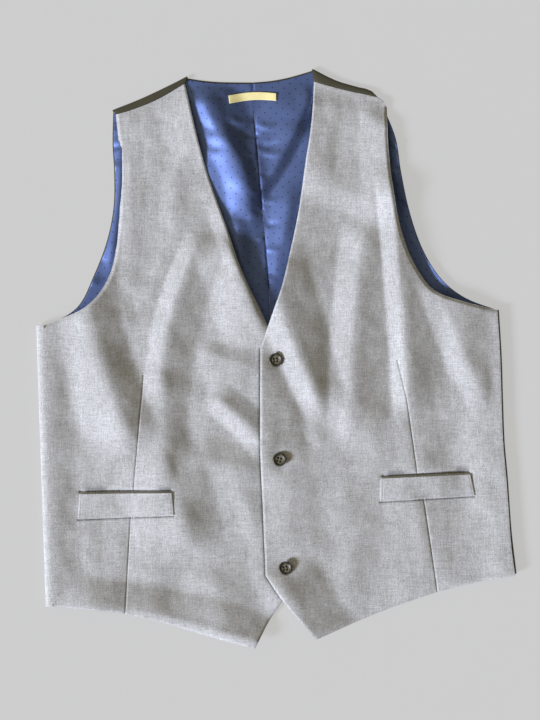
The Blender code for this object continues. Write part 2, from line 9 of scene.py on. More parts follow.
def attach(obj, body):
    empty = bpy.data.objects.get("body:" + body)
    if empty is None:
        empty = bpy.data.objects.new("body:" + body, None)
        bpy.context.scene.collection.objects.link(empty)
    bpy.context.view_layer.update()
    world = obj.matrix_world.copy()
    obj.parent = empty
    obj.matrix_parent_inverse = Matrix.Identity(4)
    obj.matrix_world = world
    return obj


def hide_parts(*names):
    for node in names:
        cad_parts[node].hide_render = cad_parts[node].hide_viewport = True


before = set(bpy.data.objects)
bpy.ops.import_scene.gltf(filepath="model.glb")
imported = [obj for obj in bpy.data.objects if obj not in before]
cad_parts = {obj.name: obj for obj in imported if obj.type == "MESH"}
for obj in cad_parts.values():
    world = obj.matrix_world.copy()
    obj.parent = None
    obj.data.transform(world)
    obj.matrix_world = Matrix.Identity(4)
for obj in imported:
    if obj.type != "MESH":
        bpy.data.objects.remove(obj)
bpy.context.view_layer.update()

# Camera: straight above the laid garment, with the neck at the top of the picture.  It stands
# far off, so that the raised cloth is hardly displaced.  Tables of places are in millimetres,
# with the wearer's right at -X and the neck at +Y; MM turns them into metres.
MM = 0.001
CAMERA_DISTANCE = 3000.0
CAMERA_OVER = (-7.15, -2.2)
PICTURE_HEIGHT = 792.0
SENSOR_HEIGHT = 24.0

lens = bpy.data.cameras.new("camera")
lens.sensor_fit = "VERTICAL"
lens.sensor_height = SENSOR_HEIGHT
lens.lens = SENSOR_HEIGHT * CAMERA_DISTANCE / PICTURE_HEIGHT
camera = bpy.data.objects.new("camera", lens)
camera.location = Vector((*CAMERA_OVER, CAMERA_DISTANCE)) * MM
bpy.context.scene.collection.objects.link(camera)
bpy.context.scene.camera = camera

# Light: a soft cool daylight from low on the left, which draws the folds, in a room whose left
# side is a bright window wall and whose right side is dim and warm.
KEY_FROM = (-0.80, -0.42, 0.44)
KEY_SPREAD = math.radians(14.0)
KEY_STRENGTH = 5.0
KEY_COLOUR = (0.89, 0.95, 1.14)
ROOM_BRIGHT = (0.48, 0.435, 0.31)
ROOM_DIM = (0.112, 0.095, 0.060)
ROOM_BRIGHT_FROM = -0.30
ROOM_DIM_FROM = 0.50


class Field:
    """A value, colour or place that varies over a surface: one output of a material's nodes."""

    def __init__(self, tree, socket):
        self.tree = tree
        self.socket = socket

    def node(self, kind, settings, values, output=0):
        """Add a node: its settings are set first, then the values or links of its sockets."""
        made = self.tree.nodes.new(kind)
        for name, setting in settings.items():
            setattr(made, name, setting)
        for name, value in values.items():
            if isinstance(value, Field):
                self.tree.links.new(value.socket, made.inputs[name])
            else:
                made.inputs[name].default_value = value
        return Field(self.tree, made.outputs[output])

    def math(self, operation, *values):
        """A Math node on these values."""
        return self.node("ShaderNodeMath", {"operation": operation}, dict(enumerate(values)))

    def __add__(self, other):
        return self.math("ADD", self, other)

    def __radd__(self, other):
        return self.math("ADD", other, self)

    def __sub__(self, other):
        return self.math("SUBTRACT", self, other)

    def __rsub__(self, other):
        return self.math("SUBTRACT", other, self)

    def __mul__(self, other):
        return self.math("MULTIPLY", self, other)

    def __rmul__(self, other):
        return self.math("MULTIPLY", other, self)

    def __truediv__(self, other):
        return self.math("DIVIDE", self, other)

    def step(self, low, high):
        """0 below the low value and 1 above the high one, easing between them."""
        settings = {"interpolation_type": "SMOOTHSTEP"}
        return self.node("ShaderNodeMapRange", settings, {"Value": self, "From Min": low, "From Max": high})

    def mix(self, first, second):
        """Colour mix from the first to the second as this value goes from 0 to 1."""
        first, second = (c if isinstance(c, Field) else (*c, 1) for c in (first, second))
        return self.node("ShaderNodeMix", {"data_type": "RGBA"}, {0: self, 6: first, 7: second}, output=2)

    def attribute(self, name):
        """A value kept on the points of the mesh."""
        return self.node("ShaderNodeAttribute", {"attribute_name": name}, {}, output=2)

    def axis(self, k):
        """One coordinate of a place, in millimetres."""
        return self.node("ShaderNodeSeparateXYZ", {}, {"Vector": self}, output=k) / MM

    def grain(self, size, detail=2.0, roughness=0.5):
        """Cloudy noise with grains of the given size along X, Y and Z, in millimetres."""
        stretch = [1 / (s * MM) for s in size]
        scaled = self.node("ShaderNodeVectorMath", {"operation": "MULTIPLY"}, {0: self, 1: stretch})
        values = {"Vector": scaled, "Scale": 1.0, "Detail": detail, "Roughness": roughness}
        return self.node("ShaderNodeTexNoise", {"normalize": True}, values)


daylight = bpy.data.lights.new("daylight", "SUN")
daylight.energy = KEY_STRENGTH
daylight.angle = KEY_SPREAD
daylight.color = KEY_COLOUR
key = bpy.data.objects.new("daylight", daylight)
key.rotation_euler = (-Vector(KEY_FROM)).to_track_quat("-Z", "Y").to_euler()
bpy.context.scene.collection.objects.link(key)
room = bpy.data.worlds.new("room")
room.use_nodes = True
sky = room.node_tree.nodes["Background"]
towards = Field(room.node_tree, room.node_tree.nodes.new("ShaderNodeTexCoord").outputs["Generated"])
sideways = towards.node("ShaderNodeSeparateXYZ", {}, {"Vector": towards})
walls = sideways.step(ROOM_BRIGHT_FROM, ROOM_DIM_FROM).mix(ROOM_BRIGHT, ROOM_DIM)
room.node_tree.links.new(walls.socket, sky.inputs["Color"])
bpy.context.scene.world = room
bpy.context.scene.view_settings.view_transform = "Standard"

# Floor: a plain pale table, matt, with the faintest mottling.  Its top glows softly, like that
# of a light table, which keeps it even and the shadows on it faint.  Its size is in metres.
FLOOR_SIZE = 8.0
FLOOR_DROP = 0.2
FLOOR_MOTTLE = (60.0, 60.0, 60.0)
FLOOR_PALE = (0.116, 0.115, 0.114)
FLOOR_SHADE = (0.112, 0.111, 0.110)
FLOOR_GLOW = (0.488, 0.488, 0.488)


def new_material(name, roughness, metallic=0.0):
    """A material, its Principled shader and the place on the surface."""
    material = bpy.data.materials.new(name)
    material.use_nodes = True
    tree = material.node_tree
    shader = tree.nodes["Principled BSDF"]
    shader.inputs["Roughness"].default_value = roughness
    shader.inputs["Metallic"].default_value = metallic
    place = Field(tree, tree.nodes.new("ShaderNodeTexCoord").outputs["Object"])
    return material, shader, place


def feed(shader, name, field):
    """Link a field to one of the shader's inputs."""
    field.tree.links.new(field.socket, shader.inputs[name])


def raise_grain(shader, height, distance, strength=1.0):
    """Bump the surface by a height field whose full height is the distance, in millimetres."""
    values = {"Height": height, "Distance": distance * MM, "Strength": strength}
    feed(shader, "Normal", height.node("ShaderNodeBump", {}, values))


table_paint, shader, place = new_material("table_paint", roughness=0.9)
feed(shader, "Base Color", place.grain(FLOOR_MOTTLE).mix(FLOOR_PALE, FLOOR_SHADE))
shader.inputs["Emission Color"].default_value = (*FLOOR_GLOW, 1)
shader.inputs["Emission Strength"].default_value = 1.0
floor_mesh = bpy.data.meshes.new("floor")
floor_shape = bmesh.new()
bmesh.ops.create_grid(floor_shape, x_segments=1, y_segments=1, size=FLOOR_SIZE / 2)
floor_shape.to_mesh(floor_mesh)
floor_shape.free()
floor_mesh.materials.append(table_paint)
floor = bpy.data.objects.new("floor", floor_mesh)
floor.location.z = -FLOOR_DROP * MM
bpy.context.scene.collection.objects.link(floor)

# Backs: two pieces of dark olive satin, joined down the middle and laid flat under everything.
# They are cut long at the shoulders and turn forward over them to the seam with the fronts; the
# left one turns forward over the side seam too.
SATIN = 1.0
WORSTED = 2.2
GAP = 0.3
MERGE = 0.01
BACK_CELL = 6.0
EDGE_STEPS = 24
TURN_RADIUS = 1.9
TURN_STEPS = 10
TURN_GROWTH = 4
SIDE_LIFT = 4.4
SIDE_TURN = math.radians(150.0)
SIDE_TUCK = 0.4
SIDE_RISE = (SATIN + 2 * GAP + SIDE_LIFT + WORSTED) / 2

# Sections across a back, from its armhole and side to the seam at the centre.  "corner" says
# which of the two edges has a corner there.
BACK_RIGHT = (
    # name, outer_x, outer_y, inner_x, inner_y, corner
    ("shoulder", -179.6, 270.2, -26.2, 302.9, "both"),
    ("shoulder_blade", -180.3, 235.0, -24.6, 268.0, ""),
    ("chest", -178.6, 204.6, -22.1, 238.0, ""),
    ("lower_chest", -179.2, 166.1, -18.5, 198.0, ""),
    ("armhole_curve", -186.5, 128.7, -14.8, 157.0, ""),
    ("armhole_foot", -200.9, 90.8, -11.5, 118.0, ""),
    ("under_arm", -219.0, 56.0, -8.5, 78.0, ""),
    ("side_top", -254.4, 33.5, -6.5, 38.0, "outer"),
    ("waist", -252.0, -40.7, -5.0, -40.0, ""),
    ("hip", -248.5, -137.5, -4.0, -137.0, ""),
    ("hem", -243.9, -270.6, -3.0, -257.4, "both"),
)
BACK_LEFT = (
    # name, outer_x, outer_y, inner_x, inner_y, corner
    ("shoulder", 117.5, 276.0, -26.2, 302.9, "both"),
    ("shoulder_blade", 131.0, 242.0, -24.6, 268.0, ""),
    ("chest", 137.0, 204.6, -22.1, 238.0, ""),
    ("lower_chest", 146.9, 159.0, -18.5, 198.0, ""),
    ("armhole_curve", 161.7, 117.7, -14.8, 157.0, ""),
    ("armhole_foot", 182.5, 85.6, -11.5, 118.0, ""),
    ("under_arm", 208.0, 66.0, -8.5, 78.0, ""),
    ("side_top", 242.4, 52.8, -6.5, 38.0, "outer"),
    ("waist", 246.9, -47.0, -5.0, -40.0, ""),
    ("hip", 252.3, -134.0, -4.0, -137.0, ""),
    ("hem", 261.0, -236.8, -3.0, -257.4, "both"),
)
# Top edge of each back from the shoulder point to the centre; its corner is the neck point.
TOP_RIGHT = (
    # x, y, corner
    (-179.6, 270.2, True),
    (-149.0, 282.4, False),
    (-115.4, 298.2, False),
    (-97.4, 307.5, True),
    (-79.8, 304.8, False),
    (-61.5, 303.4, False),
    (-26.2, 302.9, True),
)
TOP_LEFT = (
    # x, y, corner
    (117.5, 276.0, True),
    (104.6, 291.0, False),
    (86.7, 296.1, False),
    (64.4, 302.9, False),
    (38.6, 315.7, True),
    (28.1, 312.4, False),
    (10.5, 307.6, False),
    (-7.6, 304.4, False),
    (-26.2, 302.9, True),
)
# Seams of the fronts to the shoulders and the sides, which the turns of the backs meet.
SHOULDER_RIGHT = (
    # x, y, corner
    (-176.6, 267.3, True),
    (-160.0, 272.0, False),
    (-130.0, 284.2, False),
    (-100.7, 301.4, True),
)
SHOULDER_LEFT = (
    # x, y, corner
    (121.4, 275.6, True),
    (116.0, 283.6, False),
    (104.0, 287.8, False),
    (79.8, 293.1, False),
    (58.0, 298.6, False),
    (41.3, 303.6, True),
)
SIDE_RIGHT = (
    # x, y, corner
    (-254.7, 35.5, True),
    (-253.8, 8.8, False),
    (-250.4, -90.2, False),
    (-247.2, -183.7, False),
    (-244.2, -272.3, True),
)
SIDE_LEFT = (
    # x, y, corner
    (242.3, 52.8, True),
    (245.5, 0.0, False),
    (246.9, -47.0, False),
    (248.6, -92.0, False),
    (252.2, -133.1, False),
    (256.2, -189.2, False),
    (261.9, -238.5, True),
)
SEAM_GAP = 0.04
# The rim of a cloth is rounded over a share of its thickness, in a few steps, and its cells are
# halved where they lie within each of these reaches of a seam.
RIM_SHARE = 0.42
RIM_STEPS = 3
RIM_ANGLE = math.radians(50.0)
SEAM_REFINING = (5.0, 2.8)
SATIN_DARK = (0.070, 0.066, 0.044)
SATIN_LIGHT = (0.120, 0.113, 0.078)
SATIN_RIB = (0.35, 9.0, 9.0)
SATIN_RIB_HEIGHT = 0.05
SATIN_RIB_SHARE = 0.6
SATIN_CLOUD = (18.0, 26.0, 18.0)


def smooth(values):
    """Ease from 0 to 1 as the values go from 0 to 1."""
    t = np.clip(values, 0.0, 1.0)
    return t * t * (3.0 - 2.0 * t)


def blend(share, first, second):
    """Mix of two heights, of two fields, or of two rows or columns of points."""
    return (1 - share) * first + share * second


def spline(points, corners, steps):
    """Points along a smooth line through the given ones, with the given steps between each two."""
    line = []
    last = len(points) - 1
    for i in range(last):
        a = points[i]
        b = points[i + 1]
        before = points[i - 1] if i > 0 and not corners[i] else 2 * a - b
        after = points[i + 2] if i + 2 <= last and not corners[i + 1] else 2 * b - a
        chord = np.linalg.norm(b - a)
        leave = (b - before) * chord / (chord + np.linalg.norm(a - before))
        arrive = (after - a) * chord / (chord + np.linalg.norm(after - b))
        for t in np.arange(steps[i]) / steps[i]:
            line.append(
                (2 * t**3 - 3 * t**2 + 1) * a
                + (t**3 - 2 * t**2 + t) * leave
                + (3 * t**2 - 2 * t**3) * b
                + (t**3 - t**2) * arrive
            )
    line.append(points[last])
    return np.array(line)


def edge_line(places):
    """A fine line through an edge's places."""
    points = np.array([p[:2] for p in places], dtype=float)
    return spline(points, [p[2] for p in places], [EDGE_STEPS] * (len(places) - 1))


def section_line(sections, edge, steps):
    """A line through the outer or the inner ends of sections."""
    first = 1 if edge == "outer" else 3
    points = np.array([s[first : first + 2] for s in sections])
    return spline(points, [s[-1] in (edge, "both") for s in sections], steps)


def distances(line):
    """Share of a line's length at each of its points."""
    lengths = np.concatenate([[0.0], np.cumsum(np.linalg.norm(np.diff(line, axis=0), axis=1))])
    return lengths / lengths[-1]


def even(line, places):
    """The points of a line at the given shares of its length."""
    return np.stack([np.interp(places, distances(line), line[:, k]) for k in range(2)], axis=1)


def row_named(sections, name):
    """Index of the section of that name."""
    return [s[0] for s in sections].index(name)


def panel_grid(sections, top, hem, cell, shares):
    """Rows of points that fill a panel between its four edges, and the row where its side begins."""
    one_step = [1] * (len(sections) - 1)
    middles = blend(0.5, section_line(sections, "outer", one_step), section_line(sections, "inner", one_step))
    steps = [max(1, round(span / cell)) for span in np.linalg.norm(np.diff(middles, axis=0), axis=1)]
    outer = section_line(sections, "outer", steps)
    inner = section_line(sections, "inner", steps)
    top = even(top, shares)
    hem = even(hem, shares)
    down = distances(blend(0.5, outer, inner))[:, None, None]
    across = np.asarray(shares)[None, :, None]
    ruled = blend(down, top[None], hem[None]) + blend(across, outer[:, None], inner[:, None])
    corners = blend(down, blend(across, top[0], top[-1]), blend(across, hem[0], hem[-1]))
    return ruled - corners, sum(steps[: row_named(sections, "side_top")])


def inset(grid, top=0.0, hem=0.0, outer=0.0, inner=0.0):
    """Move the edges of a grid of points inwards."""
    moved = grid.copy()
    for edge, neighbour, distance in (
        (np.s_[0], np.s_[1], top),
        (np.s_[-1], np.s_[-2], hem),
        (np.s_[:, 0], np.s_[:, 1], outer),
        (np.s_[:, -1], np.s_[:, -2], inner),
    ):
        inward = grid[neighbour] - grid[edge]
        inward = inward / np.linalg.norm(inward, axis=-1, keepdims=True)
        moved[edge] = moved[edge] + inward * np.asarray(distance)[..., None]
    return moved


def with_height(grid, height):
    """Add heights to a grid of points."""
    return np.concatenate([grid, height[..., None]], axis=-1)


def normals(line, towards):
    """Unit normals of a line of points, on the side that a direction points to."""
    run = np.gradient(line, axis=0)
    across = np.stack([-run[:, 1], run[:, 0]], axis=1)
    across = across / np.linalg.norm(across, axis=1, keepdims=True)
    return across * np.sign(across @ np.array(towards))[:, None]


def turned_edge(start, outward, rise, out, turn, steps):
    """Rows of points that carry an edge round a turn of the given angle."""
    rows = []
    for angle in np.linspace(0.0, turn, steps + 1):
        plan = start[:, :2] + outward * (out * math.sin(angle))
        rows.append(np.column_stack([plan, start[:, 2] + rise * (1 - math.cos(angle))]))
    return np.array(rows)


def x_on(line, y):
    """Where a line that runs down the garment lies across it, at each height."""
    return np.interp(y, line[::-1, 1], line[::-1, 0])


def back_grid(side, sections, top_places, cell):
    """Points of one back, the column of its neck point and the row where its side begins."""
    top = edge_line(top_places)
    neck_point = EDGE_STEPS * [p[2] for p in top_places].index(True, 1)
    turn = distances(top)[neck_point]
    shoulder_columns = round(abs(top[neck_point, 0] - top[0, 0]) / cell)
    neck_columns = round(abs(top[-1, 0] - top[neck_point, 0]) / cell)
    shares = np.concatenate([
        np.linspace(0.0, turn, shoulder_columns + 1),
        np.linspace(turn, 1.0, neck_columns + 1)[1:],
    ])
    foot = sections[-1]
    grid, side_row = panel_grid(sections, top, np.array([foot[1:3], foot[3:5]]), cell, shares)
    side_line = edge_line(SIDE_RIGHT if side == "right" else SIDE_LEFT)
    reach = GAP if side == "right" else -SIDE_TUCK
    grid[side_row:, 0, 0] = reach + x_on(side_line, grid[side_row:, 0, 1])
    return grid, shoulder_columns, side_row


def nearest_on(line, x, y):
    """Distance from each place to a line of points, how far along it, and if it is on its left."""
    line = np.asarray(line, dtype=float)
    place = np.stack([x, y], axis=-1)
    nearest = np.full(x.shape, np.inf)
    along = np.zeros(x.shape)
    on_left = np.zeros(x.shape, dtype=bool)
    for i in range(len(line) - 1):
        run = line[i + 1] - line[i]
        offset = place - line[i]
        share = np.clip((offset @ run) / (run @ run), 0.0, 1.0)
        distance = np.linalg.norm(offset - share[..., None] * run, axis=-1)
        closer = distance < nearest
        nearest = np.where(closer, distance, nearest)
        along = np.where(closer, (i + share) / (len(line) - 1), along)
        on_left = np.where(closer, run[0] * offset[..., 1] > run[1] * offset[..., 0], on_left)
    return nearest, along, on_left


def distance_to(line, x, y):
    """Distance from each place to a line of points."""
    return nearest_on(line, x, y)[0]


def add_piece(name, shape, material):
    """An object with the shape's faces, joined where they touch, smooth, in the material."""
    bmesh.ops.remove_doubles(shape, verts=shape.verts, dist=MERGE * MM)
    bmesh.ops.recalc_face_normals(shape, faces=shape.faces)
    mesh = bpy.data.meshes.new(name)
    shape.to_mesh(mesh)
    shape.free()
    mesh.shade_smooth()
    mesh.materials.append(material)
    piece = bpy.data.objects.new(name, mesh)
    bpy.context.scene.collection.objects.link(piece)
    return piece


def make_cloth(
    name, body, turned, thickness, material, height=None, seams=(), painted_shade=None, rim_steps=RIM_STEPS
):
    """A cloth of even thickness with rounded edges.

    Its middle runs through the body, a grid of points, whose cells are halved twice near the
    seams before the height is given to them, and through the turned edges joined to it.  The
    painted shade, from 0 to 1, is kept on its points and darkens the cloth's colour in its seams
    and slits, where shade falls.
    """
    shape = bmesh.new()
    painted_shade_of = shape.verts.layers.float.new("painted_shade")
    for patch in (body, *turned):
        corners = [[shape.verts.new(Vector(point) * MM) for point in row] for row in patch]
        for row, below in zip(corners, corners[1:]):
            for j in range(len(row) - 1):
                shape.faces.new((row[j], below[j], below[j + 1], row[j + 1]))
        if patch is body:
            for reach in SEAM_REFINING:
                refine_near(shape, seams, reach)
            x, y = (np.array([vert.co[k] for vert in shape.verts]) / MM for k in range(2))
            if height is not None:
                for vert, z in zip(shape.verts, height(x, y)):
                    vert.co.z = z * MM
            if painted_shade is not None:
                for vert, dark in zip(shape.verts, painted_shade(x, y)):
                    vert[painted_shade_of] = dark
    piece = add_piece(name, shape, material)
    wall = piece.modifiers.new("thickness", "SOLIDIFY")
    wall.thickness = thickness * MM
    wall.offset = 0.0
    wall.use_even_offset = True
    rounding = piece.modifiers.new("rounded_edges", "BEVEL")
    rounding.width = RIM_SHARE * thickness * MM
    rounding.segments = rim_steps
    rounding.limit_method = "ANGLE"
    rounding.angle_limit = RIM_ANGLE
    rounding.use_clamp_overlap = True
    return piece


def refine_near(shape, lines, reach):
    """Halve the cells of a flat mesh that lie within reach of any of the lines."""
    for line in lines:
        x, y = (np.array([vert.co[k] for vert in shape.verts]) / MM for k in range(2))
        near = distance_to(line, x, y) < reach
        shape.verts.index_update()
        edges = [e for e in shape.edges if near[e.verts[0].index] and near[e.verts[1].index]]
        bmesh.ops.subdivide_edges(shape, edges=edges, cuts=1, use_grid_fill=True)


dark_satin, shader, place = new_material("dark_satin", roughness=0.46, metallic=0.55)
ribs = place.grain(SATIN_RIB)
tone = blend(SATIN_RIB_SHARE, place.grain(SATIN_CLOUD), ribs)
feed(shader, "Base Color", tone.mix(SATIN_DARK, SATIN_LIGHT))
raise_grain(shader, ribs, SATIN_RIB_HEIGHT)

for side, sections, top_places, shoulder in (
    ("right", BACK_RIGHT, TOP_RIGHT, SHOULDER_RIGHT),
    ("left", BACK_LEFT, TOP_LEFT, SHOULDER_LEFT),
):
    grid, neck_column, side_row = back_grid(side, sections, top_places, BACK_CELL)
    grid = inset(grid, inner=SEAM_GAP)
    body = with_height(grid, np.full(grid.shape[:2], SATIN / 2))
    # The left turn narrows to nothing at the shoulder point.
    first = 0 if side == "right" else 1
    fold = body[0, first : neck_column + 1]
    seam = even(edge_line(shoulder), np.linspace(0.0, 1.0, neck_column + 1)[first:])
    seam = seam + normals(seam, (0.0, 1.0)) * GAP
    columns_in = np.arange(first, neck_column + 1)[:, None]
    reach = TURN_RADIUS * (1.0 if side == "right" else smooth(columns_in / TURN_GROWTH))
    over_shoulder = turned_edge(
        fold, normals(fold[:, :2], (0.0, 1.0)), TURN_RADIUS, reach, math.pi, TURN_STEPS
    )
    turned = [np.concatenate([over_shoulder, with_height(seam, over_shoulder[-1, :, 2])[None]])]
    if side == "left":
        edge = body[side_row:, 0]
        outward = normals(edge[:, :2], (1.0, 0.0))
        turned.append(turned_edge(edge, outward, SIDE_RISE, TURN_RADIUS, SIDE_TURN, TURN_STEPS))
    back = make_cloth("satin_back_" + side, body, turned, SATIN, dark_satin)
    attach(back, "root")
    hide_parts("back_" + side)

# Linings: two pieces of soft blue satin with small woven dark dots, set in from the edges of the
# backs and joined down the middle by a seam that puckers.  They lie loose, in slack folds.
LINING = 0.6
LINING_CELL = 2.4
STITCH_PITCH = 2.5
LINING_INSET = 1.6
LINING_TUCK = 0.6
SEAM_REACH = 24.0
FOLD_FADE = 42.0
FOLD_FADE_SHARE = 0.4
FOLD_ROUNDING = 0.18
FOLD_STEPS = 18
CENTRE_SEAM = (
    (-26.2, 302.9), (-24.6, 268.0), (-22.1, 238.0), (-18.5, 198.0), (-14.8, 157.0), (-8.5, 78.0), (-6.5, 38.0)
)
# Folds: a ridge, or a trough where the height is negative, along a curve from its start through
# its middle to its end.  Looking along it, the flank on the right and that on the left reach to
# their own widths, and both grow or shrink by the taper on the way to the end.
LINING_FOLDS = (
    # start, middle, end, width_right, width_left, taper, height
    ((-90, 306), (-58, 244), (-32, 140), 52, 40, 0.9, 8.0),
    ((-88, 304), (-73, 268), (-60, 234), 15, 20, 1.0, 2.6),
    ((-74, 256), (-38, 210), (-28, 126), 30, 15, 0.9, 5.6),
    ((-36, 158), (-42, 130), (-28, 84), 14, 14, 0.9, 3.0),
    ((40, 304), (10, 231), (-32, 166), 50, 14, 0.9, 6.0),
    ((12, 200), (12, 156), (-2, 104), 28, 16, 0.7, 3.2),
    ((4, 128), (0, 98), (-8, 70), 12, 12, 0.8, 1.8),
    ((26, 306), (34, 288), (36, 262), 16, 10, 1.0, 1.8),
    ((38, 262), (28, 190), (4, 60), 50, 14, 0.6, 4.0),
    ((-172, 262), (-172, 180), (-186, 80), 16, 10, 1.0, 4.4),
    ((130, 290), (152, 150), (208, 66), 15, 10, 1.0, 4.4),
)
# Small slack creases beside those folds, and the puckers along the seam.
LINING_CREASES = (
    # start, middle, end, width_right, width_left, taper, height
    ((-92, 284), (-66, 292), (-40, 286), 8, 10, 0.8, 1.8),
    ((-88, 262), (-74, 252), (-56, 250), 10, 12, 1.0, -1.0),
    ((-82, 240), (-68, 231), (-50, 236), 8, 12, 1.0, -1.2),
    ((-56, 194), (-42, 182), (-24, 184), 12, 14, 1.0, -0.6),
    ((-50, 160), (-38, 153), (-22, 158), 8, 10, 1.0, -1.6),
    ((-58, 270), (-40, 258), (-22, 266), 6, 7, 0.9, 1.8),
    ((-44, 252), (-28, 243), (-18, 250), 5, 6, 0.8, -1.8),
    ((-24, 262), (-12, 254), (2, 258), 6, 6, 0.8, 1.5),
    ((-23, 238), (-10, 232), (8, 240), 5, 6, 0.9, -1.5),
    ((-22, 230), (-8, 224), (10, 226), 5, 5, 0.9, 1.3),
    ((-36, 230), (-28, 222), (-20, 228), 5, 5, 0.8, 1.4),
    ((-32, 212), (-26, 205), (-19, 210), 4, 5, 1.0, -1.4),
    ((-18, 206), (-10, 200), (0, 206), 4, 5, 1.0, -1.2),
    ((-30, 188), (-24, 181), (-17, 186), 4, 5, 0.9, 1.3),
    ((-16, 178), (-8, 172), (4, 178), 4, 5, 0.9, 1.2),
    ((-26, 166), (-20, 160), (-14, 166), 4, 5, 0.9, -1.2),
    ((-14, 152), (-6, 146), (4, 152), 4, 5, 0.9, -1.2),
    ((-24, 138), (-18, 130), (-12, 136), 4, 5, 0.9, 1.3),
    ((-11, 124), (-4, 118), (4, 124), 4, 5, 0.9, 1.0),
    ((-34, 114), (-22, 104), (-11, 108), 5, 6, 0.9, -1.6),
    ((-28, 90), (-18, 82), (-9, 86), 5, 6, 0.9, 1.4),
    ((-9, 96), (-2, 90), (4, 96), 4, 5, 0.9, -1.0),
    ((-200, 148), (-190, 144), (-180, 152), 6, 7, 1.0, 1.6),
    ((-196, 164), (-188, 160), (-178, 166), 5, 6, 1.0, -1.5),
    ((-194, 196), (-186, 190), (-174, 196), 5, 6, 1.0, -1.9),
    ((-190, 214), (-180, 210), (-170, 216), 5, 6, 1.0, 1.5),
    ((-188, 236), (-180, 231), (-168, 236), 4, 5, 1.0, -2.0),
    ((-188, 254), (-178, 250), (-168, 254), 5, 5, 1.0, 1.3),
    ((-210, 114), (-198, 106), (-186, 110), 6, 7, 1.0, -1.8),
    ((-216, 94), (-204, 84), (-190, 88), 7, 8, 1.0, 1.8),
    ((126, 240), (133, 233), (142, 238), 5, 6, 1.0, 1.3),
    ((126, 214), (134, 207), (146, 210), 5, 6, 1.0, -1.6),
    ((136, 178), (146, 170), (156, 168), 6, 7, 1.0, 1.5),
    ((148, 140), (156, 132), (166, 128), 6, 6, 1.0, -1.7),
    ((168, 112), (178, 100), (190, 96), 7, 7, 1.0, 1.8),
)
LINING_BED = SATIN + GAP + SATIN / 2
SLACK_SIZE = 26.0
SLACK_HEIGHT = 0.5
SEAM_DIP = 0.8
SEAM_WIDTH = 1.3
# The seam's painted shade: the width of its line and its share between two stitches.
SEAM_LINE_WIDTH = 1.0
BETWEEN_STITCHES = 0.2
# How far the painted shade darkens a cloth's colour, on the linings and on the worsted.
PAINTED_SHADE_SHARE = 0.9
BLUE_DEEP = (0.093, 0.140, 0.330)
BLUE_PALE = (0.140, 0.197, 0.412)
# The navy of the woven dots, which is also the colour that the seam's painted shade darkens towards.
DOT_AND_SEAM_SHADE_NAVY = (0.020, 0.026, 0.090)
# Each dot is full out to the radius of its core and gone at that of its rim.
DOT_PITCH_X = 12.6
DOT_PITCH_Y = 11.4
DOT_CORE = 0.56
DOT_RIM = 1.0
DOT_STRENGTH = 0.78
DOT_TILT = math.radians(4.0)
LINING_THREAD = (0.30, 8.0, 8.0)
LINING_THREAD_TONE = 0.35
LINING_CLOUD = (30.0, 40.0, 30.0)
LINING_CRUMPLE = (14.0, 18.0, 14.0)
LINING_THREAD_RELIEF = 0.6
LINING_RELIEF = 0.10


def slope_down(values):
    """Fall from 1 to 0 as the values go from 0 to 1, evenly but for the rounded crest and foot."""
    t = np.clip(values, 0.0, 1.0)
    bend = 2 * FOLD_ROUNDING * (1 - FOLD_ROUNDING)
    crest = 1 - t**2 / bend
    foot = (1 - t) ** 2 / bend
    flank = 1 - (t - FOLD_ROUNDING / 2) / (1 - FOLD_ROUNDING)
    return np.where(t < FOLD_ROUNDING, crest, np.where(t > 1 - FOLD_ROUNDING, foot, flank))


def fold_height(fold, x, y):
    """Height of one fold at each place."""
    start, middle, end = (np.array(point, dtype=float) for point in fold[:3])
    width_right, width_left, taper, height = fold[3:]
    pull = 2 * middle - (start + end) / 2
    t = np.linspace(0.0, 1.0, FOLD_STEPS + 1)[:, None]
    path = (1 - t) ** 2 * start + 2 * t * (1 - t) * pull + t**2 * end
    length = np.linalg.norm(np.diff(path, axis=0), axis=1).sum()
    distance, along, on_left = nearest_on(path, x, y)
    width = np.where(on_left, width_left, width_right) * blend(along, 1.0, taper)
    fade = smooth(np.minimum(along, 1 - along) * length / min(FOLD_FADE, FOLD_FADE_SHARE * length))
    return height * fade * slope_down(distance / width)


def sum_of_folds(folds, x, y):
    """Height of several folds together at each place."""
    return sum(fold_height(fold, x, y) for fold in folds)


def unevenness(x, y, size, height, seed):
    """Slight swells of a cloth, about the size across and the height high."""
    swell = [noise.noise(Vector((a / size, b / size, seed))) for a, b in zip(x.ravel(), y.ravel())]
    return height * np.array(swell).reshape(x.shape)


def near_line(line, x, y, width):
    """1 on a line, falling off to the sides over the width."""
    return np.exp(-((distance_to(line, x, y) / width) ** 2))


def stitch_row(y, between):
    """Share of painted shade down a row of stitches: 1 on each stitch and the given value between two."""
    return between + (1 - between) * (0.5 + 0.5 * np.cos(2 * math.pi * y / STITCH_PITCH))


def dotted(place):
    """Strength of the dots of a staggered lattice, 0 between them."""
    values = {"Vector": place, "Angle": DOT_TILT}
    turned = place.node("ShaderNodeVectorRotate", {"rotation_type": "Z_AXIS"}, values)
    across = turned.axis(0) / DOT_PITCH_X
    down = turned.axis(1) / DOT_PITCH_Y
    nearest = None
    for shift in (0.0, 0.5):
        dx = across.math("PINGPONG", across + shift, 0.5) * DOT_PITCH_X
        dy = down.math("PINGPONG", down + shift, 0.5) * DOT_PITCH_Y
        distance = dx.math("SQRT", dx * dx + dy * dy)
        nearest = distance if nearest is None else nearest.math("MINIMUM", nearest, distance)
    return DOT_STRENGTH * (1 - nearest.step(DOT_CORE, DOT_RIM))


